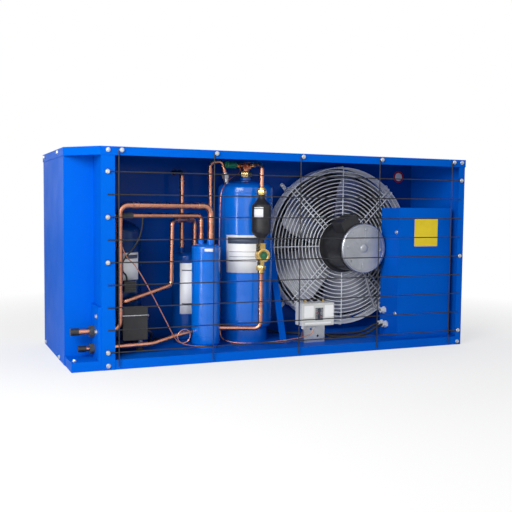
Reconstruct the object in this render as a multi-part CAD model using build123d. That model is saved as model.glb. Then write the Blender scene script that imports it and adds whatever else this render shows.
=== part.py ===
"""Air-cooled refrigeration condensing unit on a folded base, with its casing, wire guard, fan and pipework.

Origin: centre of the four base mounting holes, on the underside. +X runs right along the front,
+Y to the rear, +Z up. Millimetres. Places are counted from the left front corner of the casing.
"""

import math
import os

from build123d import *

# ---------------------------------------------------------------- driving dimensions

CASE_LENGTH = 1200.0
CASE_DEPTH = 460.0
CASE_HEIGHT = 570.0
SHEET = 1.5                     # casing sheet
BASE_HEIGHT = 25.0              # raised floor of the base pan
BASE_LIP = 28.0                 # inward lip that the unit stands on
MOUNT_HOLE_R = 5.5
MOUNT_INSET = 20.0              # holes in from the ends of the base
MOUNT_SPAN_X = CASE_LENGTH - 2 * MOUNT_INSET
MOUNT_SPAN_Y = 340.0
LID_FLANGE = 22.0
RECESS_LENGTH = 79.0            # pipe recess, along the front
RECESS_DEPTH = 98.0             # pipe recess, front to rear
COLUMN_WIDTH = 35.0             # front flange beside the recess
RIGHT_FLANGE = 22.0
REAR_FLANGE = 34.0
LID_CORNER_GAP = 3.0            # lid's cut corner stands inside the recess corner by this

WALL_SETBACK = 285.0            # fan wall, from the casing front
WALL_HEM = 14.0

FAN_OFFSET = 904.0              # fan axis, from the left end
FAN_LEVEL = 297.0
RING_R = 228.0                  # throat of the fan ring
RING_LIP = 18.0
RING_DEPTH = 45.0
BLADE_R = 222.0
BLADE_COUNT = 5
BLADE_PITCH = 27.0
BLADE_THICKNESS = 2.5
BLADE_MID = 280.0               # blade middle, from the casing front
HUB_R = 68.0
HUB_LENGTH = 38.0
SHAFT_R = 6.0
SHAFT_CLEARANCE = 0.05

GUARD_WIRE = 3.5                # fan guard wire
GUARD_R = 251.0
GUARD_INNER_R = 82.0
GUARD_RINGS = 14
GUARD_DEPTH = 50.0
GUARD_SKIRT_RINGS = 5
HOOP_SIDES = 32
GUARD_PAIR = 15.0               # spacing of the double spokes
LUG_REACH = 24.0

MOTOR_R = 74.0
MOTOR_FRONT = 97.0
MOTOR_CAP = 9.0
MOTOR_FLANGE_R = 84.0
MOTOR_FLANGE = 3.0

FRONT_WIRE = 3.0
FRONT_ROWS = 9
FRONT_ROW_LOW = 45.0
FRONT_ROW_TOP = 63.4            # top wire below the top of the casing
FRONT_ROW_PITCH = (CASE_HEIGHT - FRONT_ROW_TOP - FRONT_ROW_LOW) / (FRONT_ROWS - 1)
FRONT_COLUMNS = 5
FRONT_COLUMN_FIRST = 123.0
FRONT_COLUMN_LAST = 52.2        # last upright in from the right end
FRONT_COLUMN_PITCH = (CASE_LENGTH - FRONT_COLUMN_LAST - FRONT_COLUMN_FIRST) / (FRONT_COLUMNS - 1)
EYE_R = 7.0
LEFT_EYES = (0, 4, 6, 8)        # the level wires that are screwed at each end
RIGHT_EYES = (0, 4, 8)

HEAD_R = 6.0                    # flange-head screw
HEAD_DISC = 1.2
HEX_FLATS = 8.0
HEX_HEIGHT = 3.2
EYE_SIDE = HEAD_R + FRONT_WIRE / 2 + 0.2   # top eyes stand beside their wires

SUCTION_R = 7.94
LIQUID_R = 6.35
CAPILLARY_R = 1.3
SUCTION_LEVEL = 94.0
LIQUID_LEVEL = 48.5
STUB_SETBACK = 60.0
STUB_BORE_DEPTH = 30.0
TUBE_WALL = 1.0
CAP_CLEARANCE = 0.06
CAP_WALL = 1.8
CAP_LENGTH = 21.0
SUCTION_STUB_END = 12.0
LIQUID_STUB_END = 31.0
SLEEVE_LENGTH = 27.0
SUCTION_SLEEVE_R = 15.0
LIQUID_SLEEVE_R = 12.5
PLATE_PROUD = 8.0

COMPRESSOR_R = 95.0
COMPRESSOR_X = 132.0
COMPRESSOR_Y = 187.0
COMPRESSOR_LOW = 45.0
COMPRESSOR_TOP = 388.0
COMPRESSOR_DOME = 42.0
SHELL_DISH = 25.0
SHELL_BEAD = 1.6
HEAD_STEPS = (0, 20, 42, 64)    # where a dished end changes slope, in degrees of its ellipse
SEAM_LEVEL = 318.0
FOOT_SPREAD = 75.0
FOOT_PLATE = 4.0
GROMMET_R = 11.0

ACCUMULATOR_R = 40.0
ACCUMULATOR_X = 395.0
ACCUMULATOR_Y = 105.0
ACCUMULATOR_TOP = 318.0
SEPARATOR_R = 43.0
SEPARATOR_X = 370.0
SEPARATOR_Y = 203.0
SEPARATOR_TOP = 290.0
RECEIVER_R = 81.0
RECEIVER_X = 548.0
RECEIVER_Y = 190.0
RECEIVER_LOW = 52.0
RECEIVER_HEADROOM = 70.0        # for the fittings between receiver and lid
RECEIVER_TOP = CASE_HEIGHT - RECEIVER_HEADROOM
RECEIVER_SHOULDER = RECEIVER_TOP - 26.0
RECEIVER_NECK_R = 16.0
RECEIVER_NECK_TOP = RECEIVER_TOP + 9.0
RECEIVER_FOOT_R = 68.0

LIQUID_LINE_SETBACK = 70.0
DRIER_R = 27.5
DRIER_LOW = 346.0
DRIER_HIGH = 428.0
GLASS_LEVEL = 284.0

SWITCH_X = 657.0
SWITCH_Y = 22.0
SWITCH_LENGTH = 105.0
SWITCH_DEPTH = 42.0
SWITCH_LEVEL = 80.0
SWITCH_HEIGHT = 66.0
BRACKET_X = 685.0
BRACKET_WIDTH = 68.0
BRACKET_SHEET = 2.0
BRACKET_FOOT = 34.0
BRACKET_HEIGHT = 118.0

BOX_X = 985.0
BOX_Y = 30.0
BOX_LENGTH = 186.0
BOX_DEPTH = 100.0
BOX_TOP = 421.0
BOX_SHEET = 1.2
BOX_COVER_SIDE = 22.0

COIL_MARGIN = 33.0              # end plates, from the side panels
COIL_DEPTH = 80.0
COIL_TUBE_R = 4.8
COIL_ROWS = 2
COIL_ROW_PITCH = 36.0
COIL_TUBE_PITCH = 48.0
COIL_TUBES = 10
COIL_SLOTS = 46
HEADER_R = 9.5

BRACE_X = 631.0
BRACE_WIDTH = 20.0
BRACE_FOOT_Y = 111.0
BRACE_TOP = 500.0

# ---------------------------------------------------------------- shared places

LEFT = -CASE_LENGTH / 2
FRONT = -CASE_DEPTH / 2
FLOOR = BASE_HEIGHT
ROOF = CASE_HEIGHT - SHEET
WALL_FRONT = FRONT + WALL_SETBACK
WALL_BACK = WALL_FRONT + SHEET
FAN_X = LEFT + FAN_OFFSET
TINY = 0.3                      # clearance between moving and fixed faces


def spot(x, y, z):
    """A point counted from the left front corner of the casing."""
    return (LEFT + x, FRONT + y, z)


def block(low, high):
    """A box between two corners, counted from the left front corner."""
    size = [b - a for a, b in zip(low, high)]
    return Pos(*spot(*low)) * Box(*size, align=(Align.MIN, Align.MIN, Align.MIN))


def rod(start, direction, radius, length):
    """A round bar from a point, counted from the corner, along a direction."""
    plane = Plane(origin=spot(*start), z_dir=direction)
    return extrude(plane * Circle(radius), amount=length)


def hexagon(start, direction, flats, length):
    """A hexagon bar, such as a nut."""
    plane = Plane(origin=spot(*start), z_dir=direction)
    return extrude(plane * RegularPolygon(flats / math.sqrt(3), 6), amount=length)


def upright(x, y, outline):
    """A turned piece on a vertical axis, from (radius, height) points of its half outline."""
    face = make_face(Polyline(*[(r, z) for r, z in outline], close=True))
    return Pos(*spot(x, y, 0)) * revolve(Rot(90, 0, 0) * face, Axis.Z)


def pipe(points, radius, bend):
    """A round tube along points counted from the corner: straight runs joined by equal bends."""
    lengths = []
    for edge in centre_line(points, bend).edges():
        section = Plane(origin=edge @ 0, z_dir=edge % 0) * Circle(radius)
        if edge.geom_type == GeomType.LINE:
            lengths.append(extrude(section, amount=edge.length))
            continue
        centre = edge.arc_center
        normal = (edge @ 0 - centre).cross(edge % 0)
        turn = math.degrees(edge.length / edge.radius)
        lengths.append(revolve(section, Axis(centre, normal), turn))
    return lengths[0].fuse(*lengths[1:])


def centre_line(points, bend):
    """Straight runs between points, with every corner rounded alike."""
    line = [spot(*p) for p in points]
    return FilletPolyline(*line, radius=bend) if len(line) > 2 else Polyline(*line)


def thin_pipe(points, radius, bend):
    """A capillary or lead of hexagon section, which keeps its facets few."""
    return run(points, RegularPolygon(radius, 6), bend)


def run(points, section, bend):
    """Any section along straight runs joined by bends of one radius."""
    path = centre_line(points, bend)
    start = Plane(origin=path @ 0, z_dir=path % 0)
    return sweep(start * section, path=path)


def screw(x, y, z, direction):
    """Flange-head screw, seated at a point and facing along a direction."""
    disc = Plane(origin=spot(x, y, z), z_dir=direction) * RegularPolygon(HEAD_R, 12)
    head = hexagon((x, y, z), direction, HEX_FLATS, HEAD_DISC + HEX_HEIGHT)
    return extrude(disc, amount=HEAD_DISC) + head


def group(solids):
    return Compound(children=list(solids))


# ---------------------------------------------------------------- casing

def base_pan():
    """Folded pan: raised floor, flanges down to the ground and a lip turned in."""
    inset = 2 * SHEET
    low = (inset, inset, 0)
    high = (CASE_LENGTH - inset, CASE_DEPTH - inset, FLOOR)
    pan = block(low, high)
    pan -= block((inset + SHEET, inset + SHEET, SHEET),
                 (CASE_LENGTH - inset - SHEET, CASE_DEPTH - inset - SHEET, FLOOR - SHEET))
    pan -= block((inset + BASE_LIP, inset + BASE_LIP, -1),
                 (CASE_LENGTH - inset - BASE_LIP, CASE_DEPTH - inset - BASE_LIP, SHEET + 1))
    for x in (-MOUNT_SPAN_X / 2, MOUNT_SPAN_X / 2):
        for y in (-MOUNT_SPAN_Y / 2, MOUNT_SPAN_Y / 2):
            pan -= Pos(x, y, SHEET / 2) * Cylinder(MOUNT_HOLE_R, 3 * SHEET)
    return pan


def left_panel():
    """End panel folded round the pipe recess, with front and rear flanges."""
    top = ROOF
    back = CASE_DEPTH - SHEET
    inner = RECESS_LENGTH + SHEET
    panel = block((SHEET, RECESS_DEPTH, 0), (2 * SHEET, back, top))
    panel += block((SHEET, back - SHEET, 0), (REAR_FLANGE, back, top))
    panel += block((SHEET, RECESS_DEPTH, FLOOR), (inner, RECESS_DEPTH + SHEET, top))
    panel += block((RECESS_LENGTH, SHEET, FLOOR), (inner, RECESS_DEPTH + SHEET, top))
    panel += block((RECESS_LENGTH, SHEET, 0), (RECESS_LENGTH + COLUMN_WIDTH, 2 * SHEET, top))
    panel -= rod((RECESS_LENGTH - 1, STUB_SETBACK, SUCTION_LEVEL), (1, 0, 0), SUCTION_SLEEVE_R, 5)
    panel -= rod((RECESS_LENGTH - 1, STUB_SETBACK, LIQUID_LEVEL), (1, 0, 0), LIQUID_SLEEVE_R, 5)
    return panel


def right_panel():
    """Plain end panel with front and rear flanges."""
    face = CASE_LENGTH - SHEET
    back = CASE_DEPTH - SHEET
    panel = block((face - SHEET, SHEET, 0), (face, back, ROOF))
    panel += block((CASE_LENGTH - RIGHT_FLANGE, SHEET, 0), (face, 2 * SHEET, ROOF))
    panel += block((CASE_LENGTH - REAR_FLANGE, back - SHEET, 0), (face, back, ROOF))
    return panel


def lid_outline(shrink):
    """Plan of the lid, with the corner cut over the recess."""
    gap = LID_CORNER_GAP
    along, across = RECESS_LENGTH - gap, RECESS_DEPTH - gap
    slope = math.hypot(along, across)
    shift = shrink * (slope - across) / along
    drop = shrink * (slope - along) / across
    points = [
        spot(shrink, across + shift, 0)[:2],
        spot(along + drop, shrink, 0)[:2],
        spot(CASE_LENGTH - shrink, shrink, 0)[:2],
        spot(CASE_LENGTH - shrink, CASE_DEPTH - shrink, 0)[:2],
        spot(shrink, CASE_DEPTH - shrink, 0)[:2],
    ]
    return make_face(Polyline(*points, close=True))


def top_cover():
    """Lid with a flange down all round; its top edges are rolled."""
    lid = Pos(0, 0, CASE_HEIGHT - LID_FLANGE) * extrude(lid_outline(0), amount=LID_FLANGE)
    lid = fillet(lid.faces().sort_by(Axis.Z)[-1].edges(), 1.2)
    return lid - Pos(0, 0, CASE_HEIGHT - LID_FLANGE) * extrude(lid_outline(SHEET), amount=LID_FLANGE - SHEET)


def fan_wall():
    """Full-width wall with rearward hems and the fan opening."""
    side = 2 * SHEET
    low, high = WALL_SETBACK, WALL_SETBACK + SHEET
    hem = WALL_SETBACK + WALL_HEM
    wall = block((side, low, FLOOR), (CASE_LENGTH - side, high, ROOF))
    wall += block((side, low, FLOOR), (CASE_LENGTH - side, hem, FLOOR + SHEET))
    wall += block((side, low, ROOF - SHEET), (CASE_LENGTH - side, hem, ROOF))
    wall += block((side, low, FLOOR), (side + SHEET, hem, ROOF))
    wall += block((CASE_LENGTH - side - SHEET, low, FLOOR), (CASE_LENGTH - side, hem, ROOF))
    wall -= rod((FAN_OFFSET, low - 5, FAN_LEVEL), (0, 1, 0), RING_R + SHEET, 10)
    wall -= rod((HOT_GAS_X, low - 5, HOT_GAS_LEVEL), (0, 1, 0), LIQUID_R + 1, 10)
    wall -= rod((DRAIN_X, low - 5, DRAIN_LEVEL), (0, 1, 0), LIQUID_R + 1, 10)
    return wall


def fan_ring():
    """Spun orifice ring: flat flange on the wall, rolled mouth and throat to the rear."""
    roll = 8.0
    outline = [(RING_R + RING_LIP, -SHEET), (RING_R + RING_LIP, 0), (RING_R + SHEET, 0),
               (RING_R + SHEET, RING_DEPTH), (RING_R, RING_DEPTH), (RING_R, roll),
               (RING_R + 0.3 * roll, 0.2 * roll), (RING_R + roll, -SHEET)]
    ring = revolve(Rot(90, 0, 0) * make_face(Polyline(*outline, close=True)), Axis.Z)
    return Pos(FAN_X, WALL_FRONT, FAN_LEVEL) * Rot(-90, 0, 0) * ring


def wall_brace():
    """Flat strip that stays the fan wall from the base."""
    thick = 2.0
    top_y = WALL_SETBACK - thick
    tab = 22.0
    slope = math.atan2(top_y - BRACE_FOOT_Y, BRACE_TOP - FLOOR)
    lean = thick / math.cos(slope)
    side = [(BRACE_FOOT_Y - tab, FLOOR), (BRACE_FOOT_Y + lean, FLOOR), (WALL_SETBACK, BRACE_TOP - lean),
            (WALL_SETBACK, BRACE_TOP + tab), (top_y, BRACE_TOP + tab), (top_y, BRACE_TOP),
            (BRACE_FOOT_Y, FLOOR + thick), (BRACE_FOOT_Y - tab, FLOOR + thick)]
    face = make_face(Polyline(*[(LEFT + BRACE_X, FRONT + y, z) for y, z in side], close=True))
    return extrude(face, amount=BRACE_WIDTH, dir=(1, 0, 0))


def case_screws():
    """Screws that hold the lid and the end panels."""
    front, lid = SHEET, CASE_HEIGHT - 9.0
    column = RECESS_LENGTH + COLUMN_WIDTH / 2
    edge = CASE_LENGTH - 14.0
    places = [(column, 0, lid, (0, -1, 0)), (edge, 0, lid, (0, -1, 0)),
              (column, front, 11.0, (0, -1, 0)), (edge, front, 9.5, (0, -1, 0))]
    for y in (RECESS_DEPTH + 80, CASE_DEPTH - 32):
        places += [(0, y, lid, (-1, 0, 0)), (SHEET, y, 9.0, (-1, 0, 0))]
        places += [(CASE_LENGTH, y, lid, (1, 0, 0)), (CASE_LENGTH - SHEET, y, 9.0, (1, 0, 0))]
    for x in (20.0, CASE_LENGTH / 2, CASE_LENGTH - 20.0):
        places.append((x, CASE_DEPTH, lid, (0, 1, 0)))
    for x in (20.0, CASE_LENGTH - 20.0):
        places.append((x, CASE_DEPTH - SHEET, 9.0, (0, 1, 0)))
    return group(screw(*p) for p in places)


def pipe_plate():
    """Pressed cover over the pipe outlets in the recess wall, held by two screws."""
    outer = RECESS_LENGTH - PLATE_PROUD
    low, high = (4.0, FLOOR), (RECESS_DEPTH - 1, FLOOR + 138)
    plate = block((outer, low[0], low[1]), (RECESS_LENGTH, high[0], high[1]))
    plate -= block((outer + SHEET, low[0] + SHEET, low[1] + SHEET),
                   (RECESS_LENGTH + 1, high[0] - SHEET, high[1] - SHEET))
    plate -= rod((outer - 1, STUB_SETBACK, SUCTION_LEVEL), (1, 0, 0), SUCTION_SLEEVE_R, 4)
    plate -= rod((outer - 1, STUB_SETBACK, LIQUID_LEVEL), (1, 0, 0), LIQUID_SLEEVE_R, 4)
    for z in (FLOOR + 50 + 22, FLOOR + 112):
        plate -= rod((outer - 1, 26.0, z), (1, 0, 0), 2.5, 4)
    return plate


# ---------------------------------------------------------------- front wire guard

def front_guard():
    """Welded mesh of level and upright wires, with eyes for the screws."""
    across_corners = FRONT_WIRE / math.cos(math.pi / 6)
    left, right = RECESS_LENGTH + 16.0, CASE_LENGTH - 15.0
    section = RegularPolygon(across_corners / 2, 6)
    mesh = []
    for i in range(FRONT_ROWS):
        z = FRONT_ROW_LOW + i * FRONT_ROW_PITCH
        plane = Plane(origin=spot(left, 0, z), x_dir=(0, 0, 1), z_dir=(1, 0, 0))
        wire = extrude(plane * section, amount=right - left)
        if i in LEFT_EYES:
            wire += guard_eye(left, z)
        if i in RIGHT_EYES:
            wire += guard_eye(right, z)
        mesh.append(wire)
    eye_low = CASE_HEIGHT - 9.0
    for i in range(FRONT_COLUMNS):
        x = FRONT_COLUMN_FIRST + i * FRONT_COLUMN_PITCH
        plane = Plane(origin=spot(x, -FRONT_WIRE, 9.0), x_dir=(1, 0, 0), z_dir=(0, 0, 1))
        wire = extrude(plane * section, amount=eye_low - 9.0)
        mesh.append(wire + rod((x + EYE_SIDE, 0, eye_low), (0, -1, 0), EYE_R, FRONT_WIRE + 0.4))
    return group(mesh)


def guard_eye(x, z):
    """End of a level wire, closed round its screw."""
    return rod((x, SHEET, z), (0, -1, 0), EYE_R, FRONT_WIRE)


def guard_screws():
    """Screws through the eyes of the front guard."""
    left, right = RECESS_LENGTH + 16.0, CASE_LENGTH - 15.0
    front = SHEET - FRONT_WIRE
    heads = [screw(left, front, FRONT_ROW_LOW + i * FRONT_ROW_PITCH, (0, -1, 0)) for i in LEFT_EYES]
    heads += [screw(right, front, FRONT_ROW_LOW + i * FRONT_ROW_PITCH, (0, -1, 0)) for i in RIGHT_EYES]
    for i in range(FRONT_COLUMNS):
        x = FRONT_COLUMN_FIRST + i * FRONT_COLUMN_PITCH + EYE_SIDE
        heads.append(screw(x, -FRONT_WIRE - 0.4, CASE_HEIGHT - 9.0, (0, -1, 0)))
    return group(heads)


# ---------------------------------------------------------------- service stubs

def stub(end, level, radius):
    """Open end of a copper line, from its tip to the foam sleeve."""
    length = RECESS_LENGTH - PLATE_PROUD - 12.0 - end
    tube = rod((end, STUB_SETBACK, level), (1, 0, 0), radius, length)
    return tube - rod((end - 1, STUB_SETBACK, level), (1, 0, 0), radius - TUBE_WALL, STUB_BORE_DEPTH)


def cap(end, level, radius):
    """Push-on plastic cap that closes an open stub."""
    bore = radius + CAP_CLEARANCE
    tip = end - CAP_WALL
    body = rod((tip, STUB_SETBACK, level), (1, 0, 0), bore + CAP_WALL, CAP_LENGTH)
    body = chamfer(body.edges().sort_by(Axis.X)[0], 1.0)
    return body - rod((end - 0.05, STUB_SETBACK, level), (1, 0, 0), bore, CAP_LENGTH)


def sleeve(level, radius, pipe_radius):
    """Foam sleeve where a line goes through the recess wall."""
    start = RECESS_LENGTH - PLATE_PROUD - 12.0
    tube = rod((start, STUB_SETBACK, level), (1, 0, 0), radius, SLEEVE_LENGTH)
    return tube - rod((start - 1, STUB_SETBACK, level), (1, 0, 0), pipe_radius, SLEEVE_LENGTH + 2)


# ---------------------------------------------------------------- compressor

def vessel(x, y, radius, walls, rises):
    """A pressed vessel: straight wall between dished ends, each a knuckle and a shallow crown."""
    (low, high), (top, bottom) = walls, rises

    def head(base, rise):
        steps = [math.radians(angle) for angle in HEAD_STEPS]
        return [(radius * math.cos(a), base + rise * math.sin(a)) for a in steps]

    outline = [(0, low - bottom), *reversed(head(low, -bottom)), *head(high, top), (0, high + top)]
    return upright(x, y, outline)


def compressor_shell():
    """Hermetic shell in two drawn halves, with the weld bead between them."""
    high = COMPRESSOR_TOP - COMPRESSOR_DOME
    low = COMPRESSOR_LOW + SHELL_DISH
    shell = vessel(COMPRESSOR_X, COMPRESSOR_Y, COMPRESSOR_R, (low, high), (COMPRESSOR_DOME, SHELL_DISH))
    bead = rod((COMPRESSOR_X, COMPRESSOR_Y, SEAM_LEVEL), (0, 0, 1), COMPRESSOR_R + SHELL_BEAD, 2 * SHELL_BEAD)
    return shell + bead


def foot_places():
    return [(COMPRESSOR_X + i * FOOT_SPREAD, COMPRESSOR_Y + j * FOOT_SPREAD)
            for i in (-1, 1) for j in (-1, 1)]


def compressor_feet():
    """Pressed mounting plate under the shell, with four ears."""
    level = COMPRESSOR_LOW - FOOT_PLATE
    plate = Pos(*spot(COMPRESSOR_X, COMPRESSOR_Y, level)) * extrude(
        RectangleRounded(2 * FOOT_SPREAD + 22, 2 * FOOT_SPREAD + 22, 10.5), amount=FOOT_PLATE)
    for x, y in foot_places():
        plate -= rod((x, y, level - 1), (0, 0, 1), 5.0, FOOT_PLATE + 2)
    saddle = rod((COMPRESSOR_X, COMPRESSOR_Y, COMPRESSOR_LOW), (0, 0, 1), COMPRESSOR_R - 22, 14)
    return plate + (saddle - compressor_shell())


def compressor_grommets():
    """Rubber feet with a waist that hold the plate off the floor."""
    height = COMPRESSOR_LOW - FOOT_PLATE - FLOOR
    outline = [(4.3, 0), (GROMMET_R, 0), (GROMMET_R, 4), (GROMMET_R - 2.5, height / 2), (GROMMET_R, height - 4),
               (GROMMET_R, height), (4.3, height)]
    return group(upright(x, y, [(r, FLOOR + z) for r, z in outline]) for x, y in foot_places())


def compressor_bolts():
    """Studs from the base through the rubber feet, with washers and nuts."""
    solids = []
    for x, y in foot_places():
        stud = rod((x, y, FLOOR), (0, 0, 1), 4.0, COMPRESSOR_LOW - FLOOR + 10)
        washer = rod((x, y, COMPRESSOR_LOW), (0, 0, 1), 9.0, 1.6)
        nut = hexagon((x, y, COMPRESSOR_LOW + 1.6), (0, 0, 1), 13.0, 6.0)
        solids.append(stud + washer + nut)
    return group(solids)


TERMINAL_LOW = (149.5, 71.0, 60.0)
TERMINAL_HIGH = (219.0, 118.0, 151.0)
TERMINAL_LID = 9.0
BAIL_R = 1.5
BAIL_Y = 86.0
BAIL_Z = 108.0
BAIL_DROP = 20.0


def terminal_box():
    """Moulded terminal housing, seated on the curve of the shell."""
    low = (TERMINAL_LOW[0] + 3, TERMINAL_LOW[1] + TERMINAL_LID, TERMINAL_LOW[2] + 2)
    high = (TERMINAL_HIGH[0] - 3, TERMINAL_HIGH[1], TERMINAL_HIGH[2] - 2)
    box = block(low, high)
    box = fillet(box.edges().filter_by(Axis.Y), 5)
    box -= rod((COMPRESSOR_X, COMPRESSOR_Y, 0), (0, 0, 1), COMPRESSOR_R, 400)
    for x in (low[0], high[0]):
        box -= rod((x - 3, BAIL_Y, BAIL_Z), (1, 0, 0), BAIL_R + SHAFT_CLEARANCE, 6)
    return box


def terminal_cover():
    """Snap-on lid of the terminal housing."""
    lid = block(TERMINAL_LOW, (TERMINAL_HIGH[0], TERMINAL_LOW[1] + TERMINAL_LID, TERMINAL_HIGH[2]))
    lid = fillet(lid.edges().filter_by(Axis.Y), 6)
    return chamfer(lid.faces().sort_by(Axis.Y)[0].edges(), 1.5)


def terminal_bail():
    """Wire bail that swings over the lid and holds it shut."""
    low, high = TERMINAL_LOW[0] - BAIL_R - TINY, TERMINAL_HIGH[0] + BAIL_R + TINY
    front = TERMINAL_LOW[1] - BAIL_R - TINY
    z = BAIL_Z + BAIL_DROP
    points = [(TERMINAL_LOW[0] + 5.5, BAIL_Y, BAIL_Z), (low, BAIL_Y, BAIL_Z), (low, front, z),
              (high, front, z), (high, BAIL_Y, BAIL_Z), (TERMINAL_HIGH[0] - 5.5, BAIL_Y, BAIL_Z)]
    return thin_pipe(points, BAIL_R, 3.2)


def thermostat_block():
    """Ribbed clip-on thermostat on the shell, under the label."""
    x, z = 175.0, 189.0
    solid = block((x - 17, 84.0, z), (x + 15, 112.0, z + 29))
    for i in range(4):
        solid -= block((x - 20, 83.0, z + 4 + 6.5 * i), (x + 20, 87.0, z + 6.5 + 6.5 * i))
    return solid - rod((COMPRESSOR_X, COMPRESSOR_Y, 0), (0, 0, 1), COMPRESSOR_R, 500)


# ---------------------------------------------------------------- vessels

def accumulator():
    """Slim suction accumulator with pressed ends and two top ports."""
    body = vessel(ACCUMULATOR_X, ACCUMULATOR_Y, ACCUMULATOR_R, (FLOOR + 14, ACCUMULATOR_TOP - 12), (12, 10))
    foot = rod((ACCUMULATOR_X, ACCUMULATOR_Y, FLOOR), (0, 0, 1), ACCUMULATOR_R - 6, 14)
    ports = [rod((x, y, ACCUMULATOR_TOP - 14), (0, 0, 1), r + 2.2, 26) for x, y, r in ACCUMULATOR_PORTS]
    body = body + foot + ports[0] + ports[1]
    for x, y, r in ACCUMULATOR_PORTS:
        body -= rod((x, y, ACCUMULATOR_TOP), (0, 0, 1), r, 20)
    return body


def oil_separator():
    """Oil separator with pressed ends, inlet and outlet sockets."""
    body = vessel(SEPARATOR_X, SEPARATOR_Y, SEPARATOR_R, (FLOOR + 16, SEPARATOR_TOP - 14), (14, 12))
    foot = rod((SEPARATOR_X, SEPARATOR_Y, FLOOR), (0, 0, 1), SEPARATOR_R - 6, 14)
    body = body + foot
    for x, y in (SEPARATOR_IN, SEPARATOR_OUT):
        body += rod((x, y, SEPARATOR_TOP - 22), (0, 0, 1), LIQUID_R + 2.4, 34)
        body -= rod((x, y, SEPARATOR_TOP), (0, 0, 1), LIQUID_R, 20)
    return body


def receiver():
    """Liquid receiver: dished ends, neck for the outlet valve and a foot ring."""
    body = vessel(RECEIVER_X, RECEIVER_Y, RECEIVER_R, (RECEIVER_LOW + 26, RECEIVER_SHOULDER),
                  (RECEIVER_TOP - RECEIVER_SHOULDER, 26))
    neck = rod((RECEIVER_X, RECEIVER_Y, RECEIVER_TOP - 12), (0, 0, 1), RECEIVER_NECK_R,
               RECEIVER_NECK_TOP - RECEIVER_TOP + 12)
    foot = rod((RECEIVER_X, RECEIVER_Y, FLOOR), (0, 0, 1), RECEIVER_FOOT_R, 40)
    foot -= rod((RECEIVER_X, RECEIVER_Y, FLOOR - 1), (0, 0, 1), RECEIVER_FOOT_R - 3, 24)
    return body + neck + foot


# ---------------------------------------------------------------- receiver fittings

VALVE_Z = RECEIVER_TOP + 42.0
STEM_TURN = 20.0                # the stem points this far forward of the left
STEM_BOSS = 26.0
GLAND_LENGTH = 17.0
STEM_CAP_LENGTH = 33.0
INLET_TOP = (482.0, 190.0, RECEIVER_TOP + 20.0)
INLET_FOOT = (490.0, 190.0, RECEIVER_TOP - 16.0)


def receiver_inlet():
    """Steel inlet fitting, welded into the shoulder of the receiver."""
    direction = Vector(*INLET_TOP) - Vector(*INLET_FOOT)
    body = rod(INLET_FOOT, tuple(direction), 7.5, direction.length)
    nut_start = tuple(Vector(*INLET_FOOT) + direction * 0.55)
    nut = hexagon(nut_start, tuple(direction), 19.0, 11.0)
    return (body + nut) - receiver()


def receiver_valve_nut():
    """Union nut that draws the outlet valve onto the neck."""
    nut = hexagon((RECEIVER_X, RECEIVER_Y, RECEIVER_NECK_TOP), (0, 0, 1), 34.0, 16.0)
    return nut


def receiver_valve():
    """Forged outlet valve with a side boss for the stem and one for the line."""
    low = RECEIVER_NECK_TOP + 16.0
    body = rod((RECEIVER_X, RECEIVER_Y, low), (0, 0, 1), 11.5, VALVE_Z - low + 9)
    body += rod((RECEIVER_X, RECEIVER_Y, VALVE_Z), stem_direction(), 9.0, STEM_BOSS)
    body += rod((RECEIVER_X, RECEIVER_Y, VALVE_Z), (0, -1, 0), 9.5, 26)
    return body + block((RECEIVER_X - 12, RECEIVER_Y - 12, VALVE_Z - 10), (RECEIVER_X + 12, RECEIVER_Y + 12, VALVE_Z + 9))


def stem_direction():
    turn = math.radians(STEM_TURN)
    return (-math.cos(turn), -math.sin(turn), 0)


def on_stem(distance):
    """A point on the axis of the valve stem, counted from the corner."""
    direction = stem_direction()
    return (RECEIVER_X + direction[0] * distance, RECEIVER_Y + direction[1] * distance, VALVE_Z)


def receiver_valve_gland():
    """Brass packing nut of the valve stem."""
    return hexagon(on_stem(STEM_BOSS), stem_direction(), 17.0, GLAND_LENGTH)


def receiver_valve_cap():
    """Green cap screwed over the valve stem."""
    cap_body = rod(on_stem(STEM_BOSS + GLAND_LENGTH), stem_direction(), 10.0, STEM_CAP_LENGTH)
    return chamfer(cap_body.edges().sort_by(Axis.X)[0], 2.5)


# ---------------------------------------------------------------- liquid line parts

LINE_X = RECEIVER_X


def liquid_upright(radius, low, high):
    return rod((LINE_X, LIQUID_LINE_SETBACK, low), (0, 0, 1), radius, high - low)


def filter_drier():
    """Drier shell with spun cones and flare ends."""
    neck = 9.0
    outline = [(0, DRIER_LOW - 28), (neck, DRIER_LOW - 28), (neck, DRIER_LOW - 17), (DRIER_R - 3, DRIER_LOW),
               (DRIER_R, DRIER_LOW + 4), (DRIER_R, DRIER_HIGH - 4), (DRIER_R - 3, DRIER_HIGH),
               (neck, DRIER_HIGH + 17), (neck, DRIER_HIGH + 27), (0, DRIER_HIGH + 27)]
    return upright(LINE_X, LIQUID_LINE_SETBACK, outline)


def flare_nut(low, height, flats=24.0):
    nut = hexagon((LINE_X, LIQUID_LINE_SETBACK, low), (0, 0, 1), flats, height)
    return nut


UPPER_NUT = (DRIER_HIGH + 27.0, 22.0)
LOWER_NUT = (GLASS_LEVEL - 52.0, 22.0)


def flare_nuts():
    """Brass flare nuts above the drier and under the sight glass."""
    upper = flare_nut(*UPPER_NUT)
    upper -= liquid_upright(LIQUID_R, UPPER_NUT[0] + 8, UPPER_NUT[0] + 60)
    lower = flare_nut(*LOWER_NUT)
    lower -= liquid_upright(LIQUID_R, LOWER_NUT[0] - 40, LOWER_NUT[0] + 14)
    return group([upper, lower])


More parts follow.
